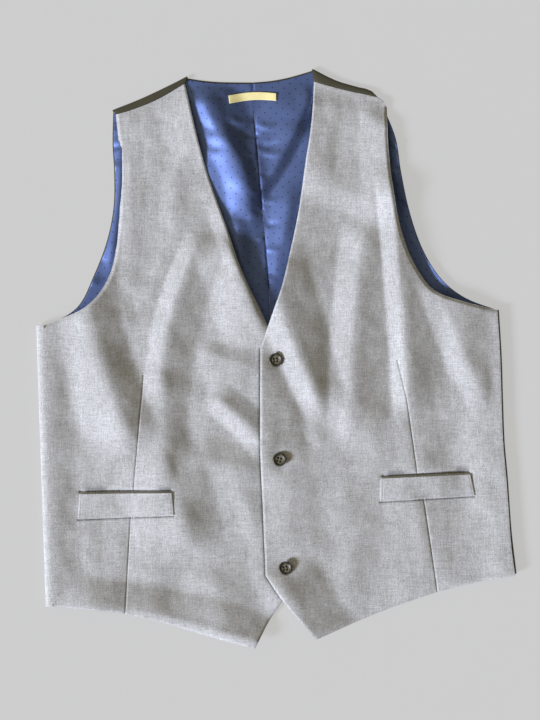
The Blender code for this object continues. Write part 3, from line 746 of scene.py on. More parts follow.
blue_satin, shader, place = new_material("blue_satin", roughness=0.52, metallic=0.7)
threads = place.grain(LINING_THREAD)
tone = blend(LINING_THREAD_TONE, place.grain(LINING_CLOUD), threads)
dots = dotted(place).mix(tone.mix(BLUE_DEEP, BLUE_PALE), DOT_AND_SEAM_SHADE_NAVY)
# Painted shade: the seam is darkened towards the navy of the dots.
feed(shader, "Base Color", (place.attribute("painted_shade") * PAINTED_SHADE_SHARE).mix(dots, DOT_AND_SEAM_SHADE_NAVY))
relief = blend(LINING_THREAD_RELIEF, place.grain(LINING_CRUMPLE, detail=3.0), threads)
raise_grain(shader, relief, LINING_RELIEF)


def lining_height(top_line):
    """Function of the height of a lining's middle above the table."""

    def height(x, y):
        held = smooth(distance_to(top_line, x, y) / SEAM_REACH)
        slack = sum_of_folds(LINING_FOLDS, x, y) * held
        slack = slack + sum_of_folds(LINING_CREASES, x, y)
        slack = slack + unevenness(x, y, SLACK_SIZE, SLACK_HEIGHT, seed=3.0)
        dip = SEAM_DIP * near_line(CENTRE_SEAM, x, y, SEAM_WIDTH)
        return LINING_BED + np.maximum(slack - dip, -GAP / 2)

    return height


def lining_painted_shade(x, y):
    """Painted shade of the seam down the middle, darkest on its small stitches."""
    return stitch_row(y, BETWEEN_STITCHES) * near_line(CENTRE_SEAM, x, y, SEAM_LINE_WIDTH)


for side, sections, top_places in (("right", BACK_RIGHT, TOP_RIGHT), ("left", BACK_LEFT, TOP_LEFT)):
    grid, neck_column = back_grid(side, sections, top_places, LINING_CELL)[:2]
    top = np.where(np.arange(grid.shape[1]) < neck_column, LINING_TUCK, LINING_INSET)
    grid = inset(grid, top=top, hem=LINING_INSET, outer=LINING_INSET, inner=SEAM_GAP)
    body = with_height(grid, np.zeros(grid.shape[:2]))
    lining = make_cloth(
        "blue_lining_" + side, body, (), LINING, blue_satin, height=lining_height(edge_line(top_places)),
        seams=(CENTRE_SEAM,), painted_shade=lining_painted_shade, rim_steps=1
    )
    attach(lining, "root")
    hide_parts("back_lining_" + side)

# Neck label: a strip of cream woven tape with folded ends, sewn over the seam of the linings just
# below the neck.  It is bare.
LABEL = ((-52.7, 288.2), (-0.4, 290.8), (-0.2, 282.4), (-51.6, 279.2))
LABEL_ARCH = 2.6
LABEL_CELLS = (52, 10)
LABEL_LIFT = 0.5
# The stiff tape bridges the creases under it: its height is an average over this many cells.
LABEL_BRIDGE = 9
TAPE = 0.8
TAPE_DARK = (0.95, 0.78, 0.34)
TAPE_LIGHT = (1.00, 0.95, 0.50)
TAPE_RIB = (0.45, 4.0, 4.0)
TAPE_RIB_SHARE = 0.5
TAPE_RIB_HEIGHT = 0.12
TAPE_WEAVE = (0.8, 0.8, 0.8)


def strip_plan(corners, cells):
    """Points of a strip between four corners: top outer, top inner, bottom inner, bottom outer."""
    across = np.linspace(0.0, 1.0, cells[0] + 1)[None, :, None]
    down = np.linspace(0.0, 1.0, cells[1] + 1)[:, None, None]
    top_outer, top_inner, bottom_inner, bottom_outer = np.array(corners)
    top = blend(across, top_outer, top_inner)
    bottom = blend(across, bottom_outer, bottom_inner)
    return blend(down, top, bottom)


cream_tape, shader, place = new_material("cream_tape", roughness=0.75)
ribs = place.grain(TAPE_RIB)
tone = blend(TAPE_RIB_SHARE, place.grain(TAPE_WEAVE, detail=3.0), ribs)
feed(shader, "Base Color", tone.mix(TAPE_DARK, TAPE_LIGHT))
raise_grain(shader, ribs, TAPE_RIB_HEIGHT)

grid = strip_plan(LABEL, LABEL_CELLS)
grid[..., 1] += LABEL_ARCH * np.sin(np.linspace(0.0, math.pi, LABEL_CELLS[0] + 1))
bed = np.maximum(lining_height(edge_line(TOP_RIGHT))(grid[..., 0], grid[..., 1]), LINING_BED)
padded = np.pad(bed, ((0, 0), (LABEL_BRIDGE // 2, LABEL_BRIDGE // 2)), mode="edge")
average = np.ones(LABEL_BRIDGE) / LABEL_BRIDGE
bed = np.array([np.convolve(row, average, mode="valid") for row in padded])
body = with_height(grid, bed + LABEL_LIFT + SATIN / 2 + TAPE / 2)
label = make_cloth("neck_label_tape", body, (), TAPE, cream_tape)
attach(label, "root")
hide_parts("neck_label")

# Fronts: each one is a wall of light grey worsted with its canvas, facing and lining pressed
# together, edges turned and rounded.  The left one laps over the right one.  Both fall in the
# soft folds of a garment that was laid down, and have a long dart through the pocket to the hem.
FRONT_CELL = 2.6
FRONT_COLUMNS = 100
FRONT_RIGHT = (
    # name, outer_x, outer_y, inner_x, inner_y, corner
    ("shoulder", -176.6, 267.3, -100.7, 301.4, "both"),
    ("collarbone", -171.4, 215.6, -88.8, 249.7, ""),
    ("upper_chest", -171.4, 181.5, -80.0, 215.9, ""),
    ("chest", -173.5, 147.4, -69.3, 182.6, ""),
    ("lower_chest", -179.6, 102.3, -53.4, 138.3, ""),
    ("armhole_curve", -191.0, 75.9, -44.3, 110.3, ""),
    ("armhole_foot", -209.6, 55.6, -33.6, 83.9, ""),
    ("under_arm", -233.0, 44.2, -20.5, 57.1, ""),
    ("side_top", -254.7, 35.5, -7.6, 31.4, "outer"),
    ("neckline_foot", -253.8, 8.8, 11.6, 2.2, "inner"),
    ("first_button", -252.1, -40.7, 13.8, -46.2, ""),
    ("waist", -250.4, -90.2, 16.3, -101.2, ""),
    ("second_button", -248.8, -137.5, 18.9, -156.2, ""),
    ("pocket", -247.2, -183.7, 21.5, -211.2, ""),
    ("front_corner", -246.4, -209.0, 23.7, -240.9, "inner"),
    ("cutaway", -245.7, -229.9, 8.0, -264.6, ""),
    ("cutaway_foot", -245.0, -250.8, -8.6, -289.2, ""),
    ("hem", -244.2, -272.3, -23.7, -317.9, "both"),
)
FRONT_LEFT = (
    # name, outer_x, outer_y, inner_x, inner_y, corner
    ("shoulder", 121.4, 275.6, 41.3, 303.6, "both"),
    ("collarbone", 122.4, 234.3, 38.5, 260.2, ""),
    ("upper_chest", 126.5, 193.1, 32.7, 217.6, ""),
    ("chest", 133.3, 151.8, 26.5, 174.2, ""),
    ("lower_chest", 142.5, 121.0, 20.5, 141.8, ""),
    ("armhole_curve", 155.7, 94.6, 13.9, 111.9, ""),
    ("armhole_foot", 173.3, 73.7, 7.4, 84.2, ""),
    ("under_arm", 205.0, 62.0, -3.6, 49.8, ""),
    ("side_top", 242.3, 52.8, -17.4, 11.0, "both"),
    ("first_button", 245.5, 0.0, -17.5, -46.2, ""),
    ("waist", 246.9, -47.0, -17.4, -101.2, ""),
    ("second_button", 248.6, -92.0, -15.0, -156.2, ""),
    ("pocket", 252.2, -133.1, -12.9, -205.7, ""),
    ("front_corner", 254.3, -161.7, -11.6, -238.7, "inner"),
    ("cutaway", 256.2, -189.2, 7.2, -265.1, ""),
    ("cutaway_foot", 258.4, -214.0, 25.0, -287.0, ""),
    ("hem", 261.9, -238.5, 43.5, -308.0, "both"),
)
HEM_RIGHT = (
    # x, y, corner
    (-244.2, -272.3, True),
    (-205.0, -275.6, False),
    (-165.9, -280.2, False),
    (-115.0, -291.9, False),
    (-69.3, -306.0, False),
    (-23.7, -317.9, True),
)
HEM_LEFT = (
    # x, y, corner
    (261.9, -238.5, True),
    (218.4, -246.4, False),
    (176.6, -256.7, False),
    (131.5, -271.7, False),
    (86.0, -290.0, False),
    (43.5, -308.0, True),
)
# Large folds: those of the solids of the fronts, worked out further.
FOLDS = {}
FOLDS["right"] = (
    # start, middle, end, width_right, width_left, taper, height
    ((-214, 134), (-197, 10), (-150, -110), 58, 43, 0.85, 11.5),
    ((-74, 146), (-116, 44), (-126, -56), 19, 36, 1.1, 8.8),
    ((-122, -6), (-126, -68), (-122, -132), 90, 32, 1.0, 7.4),
    ((-104, 336), (-88, 262), (-72, 206), 44, 12, 1.0, 6.0),
    ((-78, 206), (-54, 138), (-34, 84), 16, 10, 1.0, 2.4),
    ((-64, 142), (-38, 82), (-8, 8), 38, 18, 1.3, 11.0),
    ((-94, 14), (-54, -2), (6, -14), 40, 18, 1.0, 4.5),
    ((-78, -40), (-44, -63), (14, -126), 18, 22, 1.2, 6.5),
    ((-112, -108), (-60, -116), (4, -134), 50, 30, 1.0, 6.0),
    ((-138, -92), (-113, -148), (-92, -230), 66, 46, 1.0, 11.5),
    ((-236, 30), (-238, -130), (-230, -290), 20, 30, 1.0, -4.0),
    ((-270, -276), (-120, -290), (10, -332), 12, 42, 1.0, 12.0),
    ((-78, -220), (-66, -262), (-58, -312), 40, 50, 1.0, 5.0),
)
FOLDS["left"] = (
    # start, middle, end, width_right, width_left, taper, height
    ((126, 206), (137, 78), (146, -76), 22, 50, 0.9, 10.5),
    ((128, -30), (142, -90), (152, -164), 70, 44, 1.0, 4.0),
    ((20, 176), (88, 182), (134, 130), 26, 50, 1.0, 4.6),
    ((101, 156), (86, 36), (80, -110), 30, 52, 0.9, 8.0),
    ((-16, 108), (19, 18), (56, -76), 34, 54, 0.6, 11.5),
    ((176, 96), (204, 14), (254, -76), 26, 100, 1.1, 8.5),
    ((134, 290), (126, 224), (134, 152), 40, 18, 1.0, 6.5),
    ((40, 306), (36, 240), (28, 176), 8, 36, 1.0, 4.0),
    ((32, 190), (15, 130), (-2, 60), 6, 36, 1.6, 4.5),
    ((-22, 16), (-18, -58), (-12, -146), 40, 54, 1.0, 9.0),
    ((-16, 130), (-14, -90), (-10, -340), 40, 190, 1.0, 7.0),
    ((18, -112), (15, -178), (14, -240), 28, 34, 1.0, 2.0),
    ((-6, -226), (22, -282), (66, -352), 36, 52, 1.1, 11.0),
    ((152, -130), (160, -196), (170, -270), 40, 36, 1.0, 3.5),
)
# Lesser creases of the fronts.
CREASES = {}
CREASES["right"] = (
    # start, middle, end, width_right, width_left, taper, height
    ((-164, 250), (-160, 180), (-164, 100), 14, 18, 1.0, 1.6),
    ((-108, 240), (-112, 180), (-118, 120), 16, 18, 1.0, 1.4),
    ((-126, 130), (-132, 90), (-150, 40), 14, 16, 1.0, 1.3),
    ((-176, 90), (-166, 50), (-158, 20), 12, 14, 0.8, 1.2),
    ((-40, -140), (-30, -170), (-24, -206), 16, 20, 1.0, 2.0),
    ((-206, -186), (-200, -214), (-208, -250), 16, 18, 1.0, 1.2),
)
CREASES["left"] = (
    # start, middle, end, width_right, width_left, taper, height
    ((196, -60), (200, -130), (206, -230), 24, 40, 1.0, -1.6),
    ((74, -130), (84, -200), (78, -280), 30, 34, 1.0, 1.6),
    ((34, -62), (44, -84), (62, -100), 14, 20, 1.0, 1.2),
    ((124, -200), (132, -236), (134, -272), 20, 24, 1.0, 1.2),
)
# How far the fronts stand off the back between the folds, and how they settle towards the
# seams, the side, the hem and the table beyond the hem of the back.
FRONT_LIFT = 1.8
LIFT_SOFTNESS = 2.0
SIDE_REACH = 48.0
SIDE_FADE = 20.0
HEM_REACH = 9.0
HEM_HOLD = 0.06
POINT_HOLD = 0.20
DROP_START = 3.0
DROP_REACH = 34.0
# The roll along the right side, where the right front turns under to its seam with the back.
ROLL_OUT = 8.1
ROLL_RISE = 4.2
ROLL_STEPS = 14
ROLL_REACH = 24.0
ROLL_TOP = WORSTED / 2 + 2 * ROLL_RISE
# The left front lies on the right one and drops to the back past its edge.
OVERLAP_START = 4.0
OVERLAP_REACH = 48.0
OVERLAP_CLEARANCE = 0.95
OVERLAP_SOFTNESS = 1.5
COVER_START = 4.0
COVER_REACH = 14.0
# Darts, top to hem: a fine pressed groove in a shallow wider one.
DARTS = {
    "right": (
        (-145.8, -19.2), (-152.7, -96.8), (-156.8, -146.9),
        (-160.1, -176.4), (-163.4, -229.5), (-165.6, -279.0),
    ),
    "left": (
        (132.6, -2.2), (142.5, -44.0), (149.1, -89.1), (154.6, -127.6),
        (161.7, -156.8), (169.3, -206.8), (176.6, -256.0),
    ),
}
DART_DEPTH = 0.9
DART_WIDTH = 0.9
# The dart's pressed groove is darkened by this share: painted shade.
DART_SHADE = 0.6
DART_SINK = 0.5
DART_SINK_WIDTH = 7.0
# Pocket mouths: the slit that each welt stands in front of, gaping a little at its ends.
MOUTHS = {
    "right": ((-215.0, -146.8), (-165.0, -145.6), (-116.0, -145.2)),
    "left": ((211.5, -125.2), (164.0, -127.2), (117.0, -129.4)),
}
MOUTH_DEPTH = 3.0
MOUTH_WIDTH = 1.8
MOUTH_GAPE = 1.0
MOUTH_GAPE_WIDTH = 10.8
# Where the mouths gape, the cloth behind them lies in shade, painted on it as a dark patch:
# painted shadow.
MOUTH_SHADOWS = {
    "right": (((-208, -144.6), (-190, -144.2)), ((-126, -143.4), (-117, -143.6))),
    "left": (((124, -127.0), (138, -126.4)), ((200, -122.6), (209, -122.8))),
}
MOUTH_SHADOW_DARKNESS = 0.6
MOUTH_SHADOW_WIDTH = 3.4
# Seams of the welts' lower edges.
WELT_SEAMS = {
    "right": ((-217.8, -177.7), (-165.0, -175.4), (-112.1, -173.2)),
    "left": ((217.8, -152.0), (166.0, -155.1), (113.6, -158.1)),
}
WELT_SEAM_DEPTH = 1.5
# Buttonholes of the left front: slits that run from each button towards the armhole.
BUTTONHOLES = (
    ((-4.0, -1.6), (9.8, -0.7)),
    ((0.0, -110.6), (13.6, -109.9)),
    ((6.0, -229.4), (19.0, -229.0)),
)
# Each slit is a fine groove whose middle is painted dark: painted shade.
SLIT_WIDTH = 0.55
SLIT_DEPTH = 0.9
BUTTON_PLACES = ((-1.0, -2.2), (3.0, -111.1), (9.6, -229.9))
DIMPLE_DEPTH = 2.0
DIMPLE_WIDTH = 10.0
# Pressed edges: the cloth turns down by a drop over a width, and the left front presses a line
# into the right one along its edge.
FRONT_EDGE = (0.7, 1.9)
ARMHOLE_EDGE = (1.6, 4.0)
PRESS_DEPTH = 1.2
PRESS_WIDTH = 0.8
# Painted shade: the pressed line, the dart, the welt seams and the mouths are darkened over these widths, as
# shade falls in them.
PRESS_SHADE = 0.8
SEAM_SHADE_WIDTH = 0.7
WELT_SHADE_WIDTH = 1.0
MOUTH_SHADE_WIDTH = 1.1
SWELL_SIZE = 30.0
SWELL_HEIGHT = 1.4
RIPPLE_SIZE = 12.0
RIPPLE_HEIGHT = 0.3
YARN_DARK = (0.236, 0.234, 0.230)
YARN_LIGHT = (0.690, 0.688, 0.690)
# The near black that the painted shade of the seams and slits darkens the grey towards.
YARN_PAINTED_SHADE = (0.045, 0.042, 0.038)
YARN_CONTRAST = (0.30, 0.70)
YARN_HEIGHT = 0.08
YARN_SHEEN = 0.12
YARN_SHEEN_ROUGHNESS = 0.5
# What mottles the grey: thick and fine yarns both ways, flecks and faint clouds.
YARNS = {
    # name: grain along X, Y and Z, detail, roughness, share of the tone
    "warp": ((1.0, 13.0, 13.0), 1.0, 0.5, 0.15),
    "weft": ((13.0, 1.0, 13.0), 1.0, 0.5, 0.15),
    "warp_fine": ((0.5, 3.2, 3.2), 2.0, 0.5, 0.16),
    "weft_fine": ((3.2, 0.5, 3.2), 2.0, 0.5, 0.14),
    "fleck": ((1.1, 1.1, 1.1), 2.0, 0.6, 0.34),
    "cloud": ((6.0, 8.0, 6.0), 2.0, 0.5, 0.06),
}
# The long edges are thinned where only the distance to them counts: one point in so many stays.
EDGE_THINNING = 6
HEM_THINNING = 3

LINES = {
    "shoulder_right": edge_line(SHOULDER_RIGHT),
    "shoulder_left": edge_line(SHOULDER_LEFT),
    "hem_right": edge_line(HEM_RIGHT),
    "hem_left": edge_line(HEM_LEFT),
    "side_right": edge_line(SIDE_RIGHT),
    "side_left": edge_line(SIDE_LEFT),
}
for name, sections, first in (
    ("under_edge", FRONT_RIGHT, "shoulder"),
    ("over_edge", FRONT_LEFT, "side_top"),
):
    rows = sections[row_named(sections, first) :]
    LINES[name] = section_line(rows, "inner", [EDGE_STEPS] * (len(rows) - 1))
LINES["pressed"] = LINES["over_edge"][::EDGE_THINNING]
for side, sections in (("right", FRONT_RIGHT), ("left", FRONT_LEFT)):
    armhole = sections[: row_named(sections, "side_top") + 1]
    few = EDGE_STEPS // EDGE_THINNING
    inner = section_line(sections, "inner", [few] * (len(sections) - 1))
    LINES["front_edge_" + side] = np.concatenate([inner, LINES["hem_" + side][::-HEM_THINNING]])
    LINES["armhole_" + side] = section_line(armhole, "outer", [few] * (len(armhole) - 1))


def positive(values, softness):
    """The values where they are above zero, easing to zero below."""
    return 0.5 * (values + np.sqrt(values**2 + softness**2))


def back_hem_y(x):
    """Where the hem of the back lies, at a place across it."""
    right, left = BACK_RIGHT[-1], BACK_LEFT[-1]
    return np.interp(x, [right[1], right[3], left[1]], [right[2], right[4], left[2]])


def underside(side, x, y):
    """Height of the underside of a front above the table, but for its overlap and roll."""
    bed = 2 * (SATIN + GAP)
    beyond = smooth((back_hem_y(x) - y - DROP_START) / DROP_REACH)
    folds = sum_of_folds(FOLDS[side] + CREASES[side], x, y)
    at_side = np.zeros(x.shape)
    if side == "left":
        from_side = distance_to(LINES["side_left"], x, y)
        folds = folds * smooth(from_side / SIDE_FADE)
        at_side = 1 - smooth(from_side / SIDE_REACH)
    else:
        past_edge = x - x_on(LINES["over_edge"], y)
        covered = smooth((past_edge - COVER_START) / COVER_REACH)
        folds = folds * np.where(y < LINES["over_edge"][0, 1], 1 - covered, 1.0)
    near_hem = 1 - smooth(distance_to(LINES["hem_" + side], x, y) / HEM_REACH)
    held = near_hem * blend(beyond, HEM_HOLD, POINT_HOLD) * (1 - at_side)
    free = smooth(distance_to(LINES["shoulder_" + side], x, y) / SEAM_REACH) * (1 - held)
    lift = positive(FRONT_LIFT + folds, LIFT_SOFTNESS)
    return bed * (1 - beyond) + blend(at_side, lift, SIDE_LIFT) * free


def front_middle(side, x, y):
    """Height of the middle of a front's wall above the table, without its seams."""
    below = underside(side, x, y)
    if side == "right":
        roll = near_line(LINES["side_right"], x, y, ROLL_REACH)
        return blend(roll, below + WORSTED / 2, ROLL_TOP)
    past_edge = x - x_on(LINES["under_edge"], y)
    over = 1 - smooth((past_edge - OVERLAP_START) / OVERLAP_REACH)
    rest_on = underside("right", x, y) + WORSTED + OVERLAP_CLEARANCE
    return below + over * positive(rest_on - below, OVERLAP_SOFTNESS) + WORSTED / 2


def near_spot(spot, x, y, width):
    """1 on a spot, falling off around it over the width."""
    return np.exp(-((np.hypot(x - spot[0], y - spot[1]) / width) ** 2))


def front_swells(side, x, y):
    """Slight swells of a front, none at its side."""
    loose = smooth(distance_to(LINES["side_" + side], x, y) / SIDE_FADE)
    large = unevenness(x, y, SWELL_SIZE, SWELL_HEIGHT, seed=7.0)
    return loose * (large + unevenness(x, y, RIPPLE_SIZE, RIPPLE_HEIGHT, seed=9.0))


def front_height(side):
    """Function of the height of the middle of a front's wall, with its seams, slits and edges."""
    dart, mouth, welt_seam = DARTS[side], MOUTHS[side], WELT_SEAMS[side]

    def height(x, y):
        groove = DART_DEPTH * near_line(dart, x, y, DART_WIDTH)
        groove = groove + DART_SINK * near_line(dart, x, y, DART_SINK_WIDTH)
        groove = groove + MOUTH_DEPTH * near_line(mouth, x, y, MOUTH_WIDTH)
        for end in (mouth[0], mouth[-1]):
            groove = groove + MOUTH_GAPE * near_spot(end, x, y, MOUTH_GAPE_WIDTH)
        groove = groove + WELT_SEAM_DEPTH * near_line(welt_seam, x, y, DART_WIDTH)
        for edge, (drop, width) in (("front_edge_", FRONT_EDGE), ("armhole_", ARMHOLE_EDGE)):
            from_edge = distance_to(LINES[edge + side], x, y)
            groove = groove + drop * (1 - smooth(from_edge / width))
        for spot in BUTTON_PLACES:
            groove = groove + DIMPLE_DEPTH * near_spot(spot, x, y, DIMPLE_WIDTH)
        if side == "left":
            for slit in BUTTONHOLES:
                groove = groove + SLIT_DEPTH * near_line(slit, x, y, SLIT_WIDTH)
        else:
            pressed = near_line(LINES["pressed"] - [PRESS_WIDTH, 0], x, y, PRESS_WIDTH)
            groove = groove + PRESS_DEPTH * pressed
        return np.maximum(front_middle(side, x, y) + front_swells(side, x, y) - groove, WORSTED / 2)

    return height


def front_painted_shade(side):
    """Function of the painted shade of a front: darkness painted along its dart, welt seams and
    pocket mouths, behind the gaping mouth ends, in its buttonholes and, on the right front, in
    the crevice beside the left front's edge.
    """

    def painted_shade(x, y):
        dark = DART_SHADE * near_line(DARTS[side], x, y, SEAM_SHADE_WIDTH)
        dark = np.maximum(dark, near_line(WELT_SEAMS[side], x, y, WELT_SHADE_WIDTH))
        dark = np.maximum(dark, near_line(MOUTHS[side], x, y, MOUTH_SHADE_WIDTH))
        for end in MOUTH_SHADOWS[side]:
            dark = np.maximum(dark, MOUTH_SHADOW_DARKNESS * near_line(end, x, y, MOUTH_SHADOW_WIDTH))
        if side == "left":
            for slit in BUTTONHOLES:
                dark = np.maximum(dark, near_line(slit, x, y, SLIT_WIDTH))
        else:
            pressed = near_line(LINES["pressed"] - [PRESS_WIDTH / 2, 0], x, y, SEAM_SHADE_WIDTH)
            dark = np.maximum(dark, PRESS_SHADE * pressed)
        return dark

    return painted_shade


worsted, shader, place = new_material("grey_worsted", roughness=0.82)
shader.inputs["Sheen Weight"].default_value = YARN_SHEEN
shader.inputs["Sheen Roughness"].default_value = YARN_SHEEN_ROUGHNESS
grains = {}
tone = 0.0
for name, (size, detail, roughness, share) in YARNS.items():
    grains[name] = place.grain(size, detail, roughness)
    tone = tone + grains[name] * share
grey = tone.step(*YARN_CONTRAST).mix(YARN_DARK, YARN_LIGHT)
# Painted shade: in its seams, slits and crevices the worsted is darkened towards a near black.
feed(shader, "Base Color", (place.attribute("painted_shade") * PAINTED_SHADE_SHARE).mix(grey, YARN_PAINTED_SHADE))
raise_grain(shader, blend(0.5, grains["warp_fine"], grains["weft_fine"]), YARN_HEIGHT)

for side, sections in (("right", FRONT_RIGHT), ("left", FRONT_LEFT)):
    shares = np.linspace(0.0, 1.0, FRONT_COLUMNS + 1)
    grid, side_row = panel_grid(sections, LINES["shoulder_" + side], LINES["hem_" + side], FRONT_CELL, shares)
    turned = []
    if side == "right":
        crease = with_height(grid[side_row:, 0], np.full(len(grid) - side_row, ROLL_TOP))
        outward = normals(crease[:, :2], (-1.0, 0.0))
        turned.append(turned_edge(crease, outward, -ROLL_RISE, ROLL_OUT, math.pi, ROLL_STEPS))
    body = with_height(grid, np.zeros(grid.shape[:2]))
    edges = (LINES["front_edge_" + side], LINES["armhole_" + side])
    seams = (DARTS[side], MOUTHS[side], WELT_SEAMS[side], *edges)
    seams = seams + (BUTTONHOLES if side == "left" else (LINES["pressed"],))
    front = make_cloth(
        "worsted_front_" + side, body, turned, WORSTED, worsted,
        height=front_height(side), seams=seams, painted_shade=front_painted_shade(side)
    )
    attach(front, "root")
    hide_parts("front_" + side)

# Pocket welts: each is a doubled strip of the worsted across the dart, sewn in along its lower
# edge and stitched down at its ends, with its upper edge free in front of the pocket's mouth.
WELTS = {
    "right": ((-216.2, -149.2), (-114.4, -147.4), (-112.1, -171.9), (-217.8, -176.4)),
    "left": ((212.9, -127.6), (114.4, -131.8), (113.6, -156.8), (217.8, -150.7)),
}
WELT_CLOTH = 1.1
WELT_CELLS = (140, 34)
WELT_FLOAT = 0.2
# The free upper edge stands off in the middle, and comes down over a share of the length.
WELT_RISE = 1.5
WELT_RISE_SHARE = 0.25
# The ends are pressed down and sewn through, a little in from the edge.
END_SINK = 0.5
END_REACH = 1.6
END_STITCH_INSET = 2.2
END_STITCH_DEPTH = 0.3
END_STITCH_WIDTH = 0.4
# The dents of those stitches are darkened by this share: painted shade.
END_STITCH_SHADE = 0.45


def near_stitches(lines, x, y):
    """1 on the rows of stitches at the ends of a welt, falling off beside them."""
    return sum(near_line(line, x, y, END_STITCH_WIDTH) for line in lines)


def sewn_down(lines):
    """Function of the painted shade in the dents of a welt's end stitches."""

    def painted_shade(x, y):
        return END_STITCH_SHADE * stitch_row(y, 0.0) * near_stitches(lines, x, y)

    return painted_shade


for side in ("right", "left"):
    grid = strip_plan(WELTS[side], WELT_CELLS)
    x, y = grid[..., 0], grid[..., 1]
    bed = front_middle(side, x, y) + WORSTED / 2 + front_swells(side, x, y)
    across = np.linspace(0.0, 1.0, WELT_CELLS[0] + 1)[None, :]
    up = np.linspace(1.0, 0.0, WELT_CELLS[1] + 1)[:, None]
    bed = bed + WELT_RISE * up * smooth(np.minimum(across, 1 - across) / WELT_RISE_SHARE)
    outer_top, inner_top, inner_foot, outer_foot = np.array(WELTS[side])
    towards_middle = np.sign(inner_top[0] - outer_top[0])
    ends = ((outer_top, outer_foot, towards_middle), (inner_top, inner_foot, -towards_middle))
    stitches = []
    for top, foot, inward in ends:
        bed = bed - END_SINK * (1 - smooth(distance_to((top, foot), x, y) / END_REACH))
        step_in = np.array([inward * END_STITCH_INSET, 0.0])
        stitches.append((top + step_in, foot + step_in))
    bed = bed - END_STITCH_DEPTH * near_stitches(stitches, x, y)
    body = with_height(grid, bed + WELT_FLOAT + WELT_CLOTH / 2)
    welt = make_cloth("pocket_welt_" + side, body, (), WELT_CLOTH, worsted, painted_shade=sewn_down(stitches))
    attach(welt, "root")
    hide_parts("welt_" + side)

# Buttons: three turned dark horn discs with a rolled rim round a dished face and four thread
# holes.  Each is sewn to the right front and stands through a buttonhole of the left one.
BUTTON_DIAMETER = 15.0
BUTTON_PROFILE = (
    # share of the radius, height
    (0.0, 1.65),
    (0.20, 1.66),
    (0.42, 1.72),
    (0.56, 1.86),
    (0.64, 2.12),
    (0.71, 2.48),
    (0.78, 2.76),
    (0.84, 2.86),
    (0.90, 2.78),
    (0.95, 2.50),
    (0.985, 2.10),
    (1.0, 1.70),
    (0.985, 1.15),
    (0.93, 0.75),
    (0.82, 0.35),
    (0.62, 0.10),
    (0.40, 0.0),
    (0.0, 0.0),
)
BUTTON_SIDES = 96
# Steps along the profile between its points, finer in the dish, where the holes are.
DISH_SHARES = 3
DISH_STEPS = 12
PROFILE_STEPS = 4
# The last rows of the profile are its underside.  It is set against the cloth along rings.
UNDERSIDE_ROWS = 6
PROBE_RINGS = 8
PROBE_REACH = 0.95
HOLE_RADIUS = 1.1
HOLE_SPACING = 3.5
HOLE_DEPTH = 1.3
HOLE_EDGE = 0.3
STRAND = 0.30
STRAND_ARCH = 0.35
STRAND_SIDES = 8
STRAND_STEPS = 14
BUTTONS = {
    # turn in degrees
    "button_top": 8.0,
    "button_middle": -14.0,
    "button_bottom": 11.0,
}
HORN_DARK_AND_HOLE_SHADE = (0.020, 0.016, 0.010)
HORN_LIGHT = (0.100, 0.086, 0.056)
HORN_CLOUD = (3.0, 9.0, 3.0)
HORN_CONTRAST = (0.35, 0.70)
HORN_SCUFF = (1.2, 1.2, 1.2)
HORN_ROUGHNESS = 0.38
HORN_ROUGHNESS_SPREAD = 0.16
# The dish is paler, between the radii where its tone fades in.
DISH_TONE = (0.200, 0.182, 0.128)
DISH_CONTRAST = (0.10, 0.90)
DISH_EDGE = (3.956, 4.784)
THREAD_DARK = (0.014, 0.012, 0.010)
THREAD_LIGHT = (0.042, 0.038, 0.032)
THREAD_FIBRE = (0.3, 0.3, 0.3)


def add_rings(shape, rings):
    """Faces between rings of points in space, each ring closed on itself."""
    corners = [[shape.verts.new(Vector(point) * MM) for point in ring] for ring in rings]
    for ring, following in zip(corners, corners[1:]):
        for j in range(len(ring)):
            after = (j + 1) % len(ring)
            shape.faces.new((ring[j], ring[after], following[after], following[j]))


def add_strand(shape, path, thickness):
    """A round strand of thread along a path of points that stays near one upright plane."""
    turns = np.linspace(0.0, 2 * math.pi, STRAND_SIDES, endpoint=False)
    run = np.gradient(path, axis=0)
    run = run / np.linalg.norm(run, axis=1, keepdims=True)
    sideways = np.cross(run, [0.0, 0.0, 1.0])
    sideways = sideways / np.linalg.norm(sideways, axis=1, keepdims=True)
    over = np.cross(sideways, run)
    add_rings(shape, [
        centre + thickness / 2 * (np.outer(np.cos(turns), across) + np.outer(np.sin(turns), up))
        for centre, across, up in zip(path, sideways, over)
    ])


horn, shader, place = new_material("dark_horn", roughness=HORN_ROUGHNESS)
clouds = place.grain(HORN_CLOUD, detail=4.0)
polished = clouds.step(*HORN_CONTRAST).mix(HORN_DARK_AND_HOLE_SHADE, HORN_LIGHT)
squared = place.axis(0) * place.axis(0) + place.axis(1) * place.axis(1)
in_dish = 1 - squared.math("SQRT", squared).step(*DISH_EDGE)
dish_height = BUTTON_PROFILE[0][1]
# Painted shade: inside the thread holes the dish takes the horn's darkest tone.
above_hole = place.axis(2).step(dish_height - HOLE_DEPTH / 2, dish_height - HOLE_EDGE / 2)
dish_tone = above_hole.mix(HORN_DARK_AND_HOLE_SHADE, clouds.step(*DISH_CONTRAST).mix(HORN_LIGHT, DISH_TONE))
feed(shader, "Base Color", in_dish.mix(polished, dish_tone))
scuffs = place.grain(HORN_SCUFF, detail=3.0)
feed(shader, "Roughness", scuffs * HORN_ROUGHNESS_SPREAD + HORN_ROUGHNESS)
thread, shader, place = new_material("dark_thread", roughness=0.8)
feed(shader, "Base Color", place.grain(THREAD_FIBRE).mix(THREAD_DARK, THREAD_LIGHT))

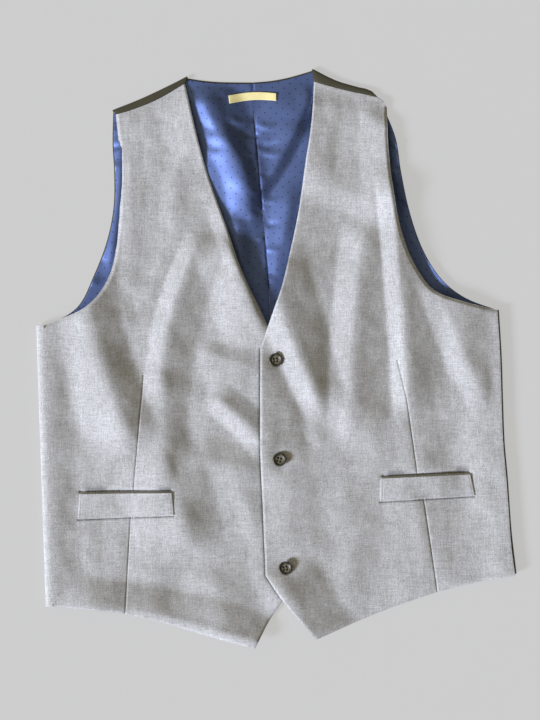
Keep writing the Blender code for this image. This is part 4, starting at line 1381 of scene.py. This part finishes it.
radius = BUTTON_DIAMETER / 2
steps = [DISH_STEPS if k < DISH_SHARES else PROFILE_STEPS for k in range(len(BUTTON_PROFILE) - 1)]
profile = spline(np.array(BUTTON_PROFILE) * (radius, 1.0), [False] * len(BUTTON_PROFILE), steps)
around = np.linspace(0.0, 2 * math.pi, BUTTON_SIDES, endpoint=False)
half = HOLE_SPACING / 2
holes = [(-half, -half), (half, -half), (half, half), (-half, half)]
rings = []
for k, (reach, height) in enumerate(profile):
    x, y = reach * np.cos(around), reach * np.sin(around)
    z = np.full(BUTTON_SIDES, height)
    if k < DISH_SHARES * DISH_STEPS:
        for hole in holes:
            from_hole = np.hypot(x - hole[0], y - hole[1])
            z = z - HOLE_DEPTH * (1 - smooth((from_hole - HOLE_RADIUS + HOLE_EDGE / 2) / HOLE_EDGE))
    rings.append(np.column_stack([x, y, z]))
cloth_middle = front_height("left")
probes = np.linspace(0.0, PROBE_REACH, PROBE_RINGS)
underside_shares, underside_heights = zip(*BUTTON_PROFILE[: -1 - UNDERSIDE_ROWS : -1])
undersides = np.interp(probes, underside_shares, underside_heights)
for (name, turn), (x, y) in zip(BUTTONS.items(), BUTTON_PLACES):
    # The button settles into the dimple until its underside meets the cloth.
    reaches = radius * probes[:, None]
    cloth = cloth_middle(x + reaches * np.cos(around), y + reaches * np.sin(around))
    bed = (cloth - undersides[:, None]).max() + WORSTED / 2
    shape = bmesh.new()
    add_rings(shape, rings)
    disc = add_piece(name + "_disc", shape, horn)
    disc.location = Vector((x, y, bed)) * MM
    disc.rotation_euler.z = math.radians(turn)
    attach(disc, "root")
    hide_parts(name)
    shape = bmesh.new()
    for first, second in ((holes[0], holes[3]), (holes[1], holes[2])):
        for aside in (-STRAND / 2, STRAND / 2):
            along = np.linspace(0.0, 1.0, STRAND_STEPS + 1)
            arch = np.sin(math.pi * along) ** 0.5 * (STRAND_ARCH + HOLE_DEPTH / 2) - HOLE_DEPTH / 2
            path = np.column_stack([
                blend(along, first[0], second[0]) + aside,
                blend(along, first[1], second[1]),
                dish_height + arch,
            ])
            add_strand(shape, path, STRAND)
    strands = add_piece(name + "_thread", shape, thread)
    strands.parent = disc
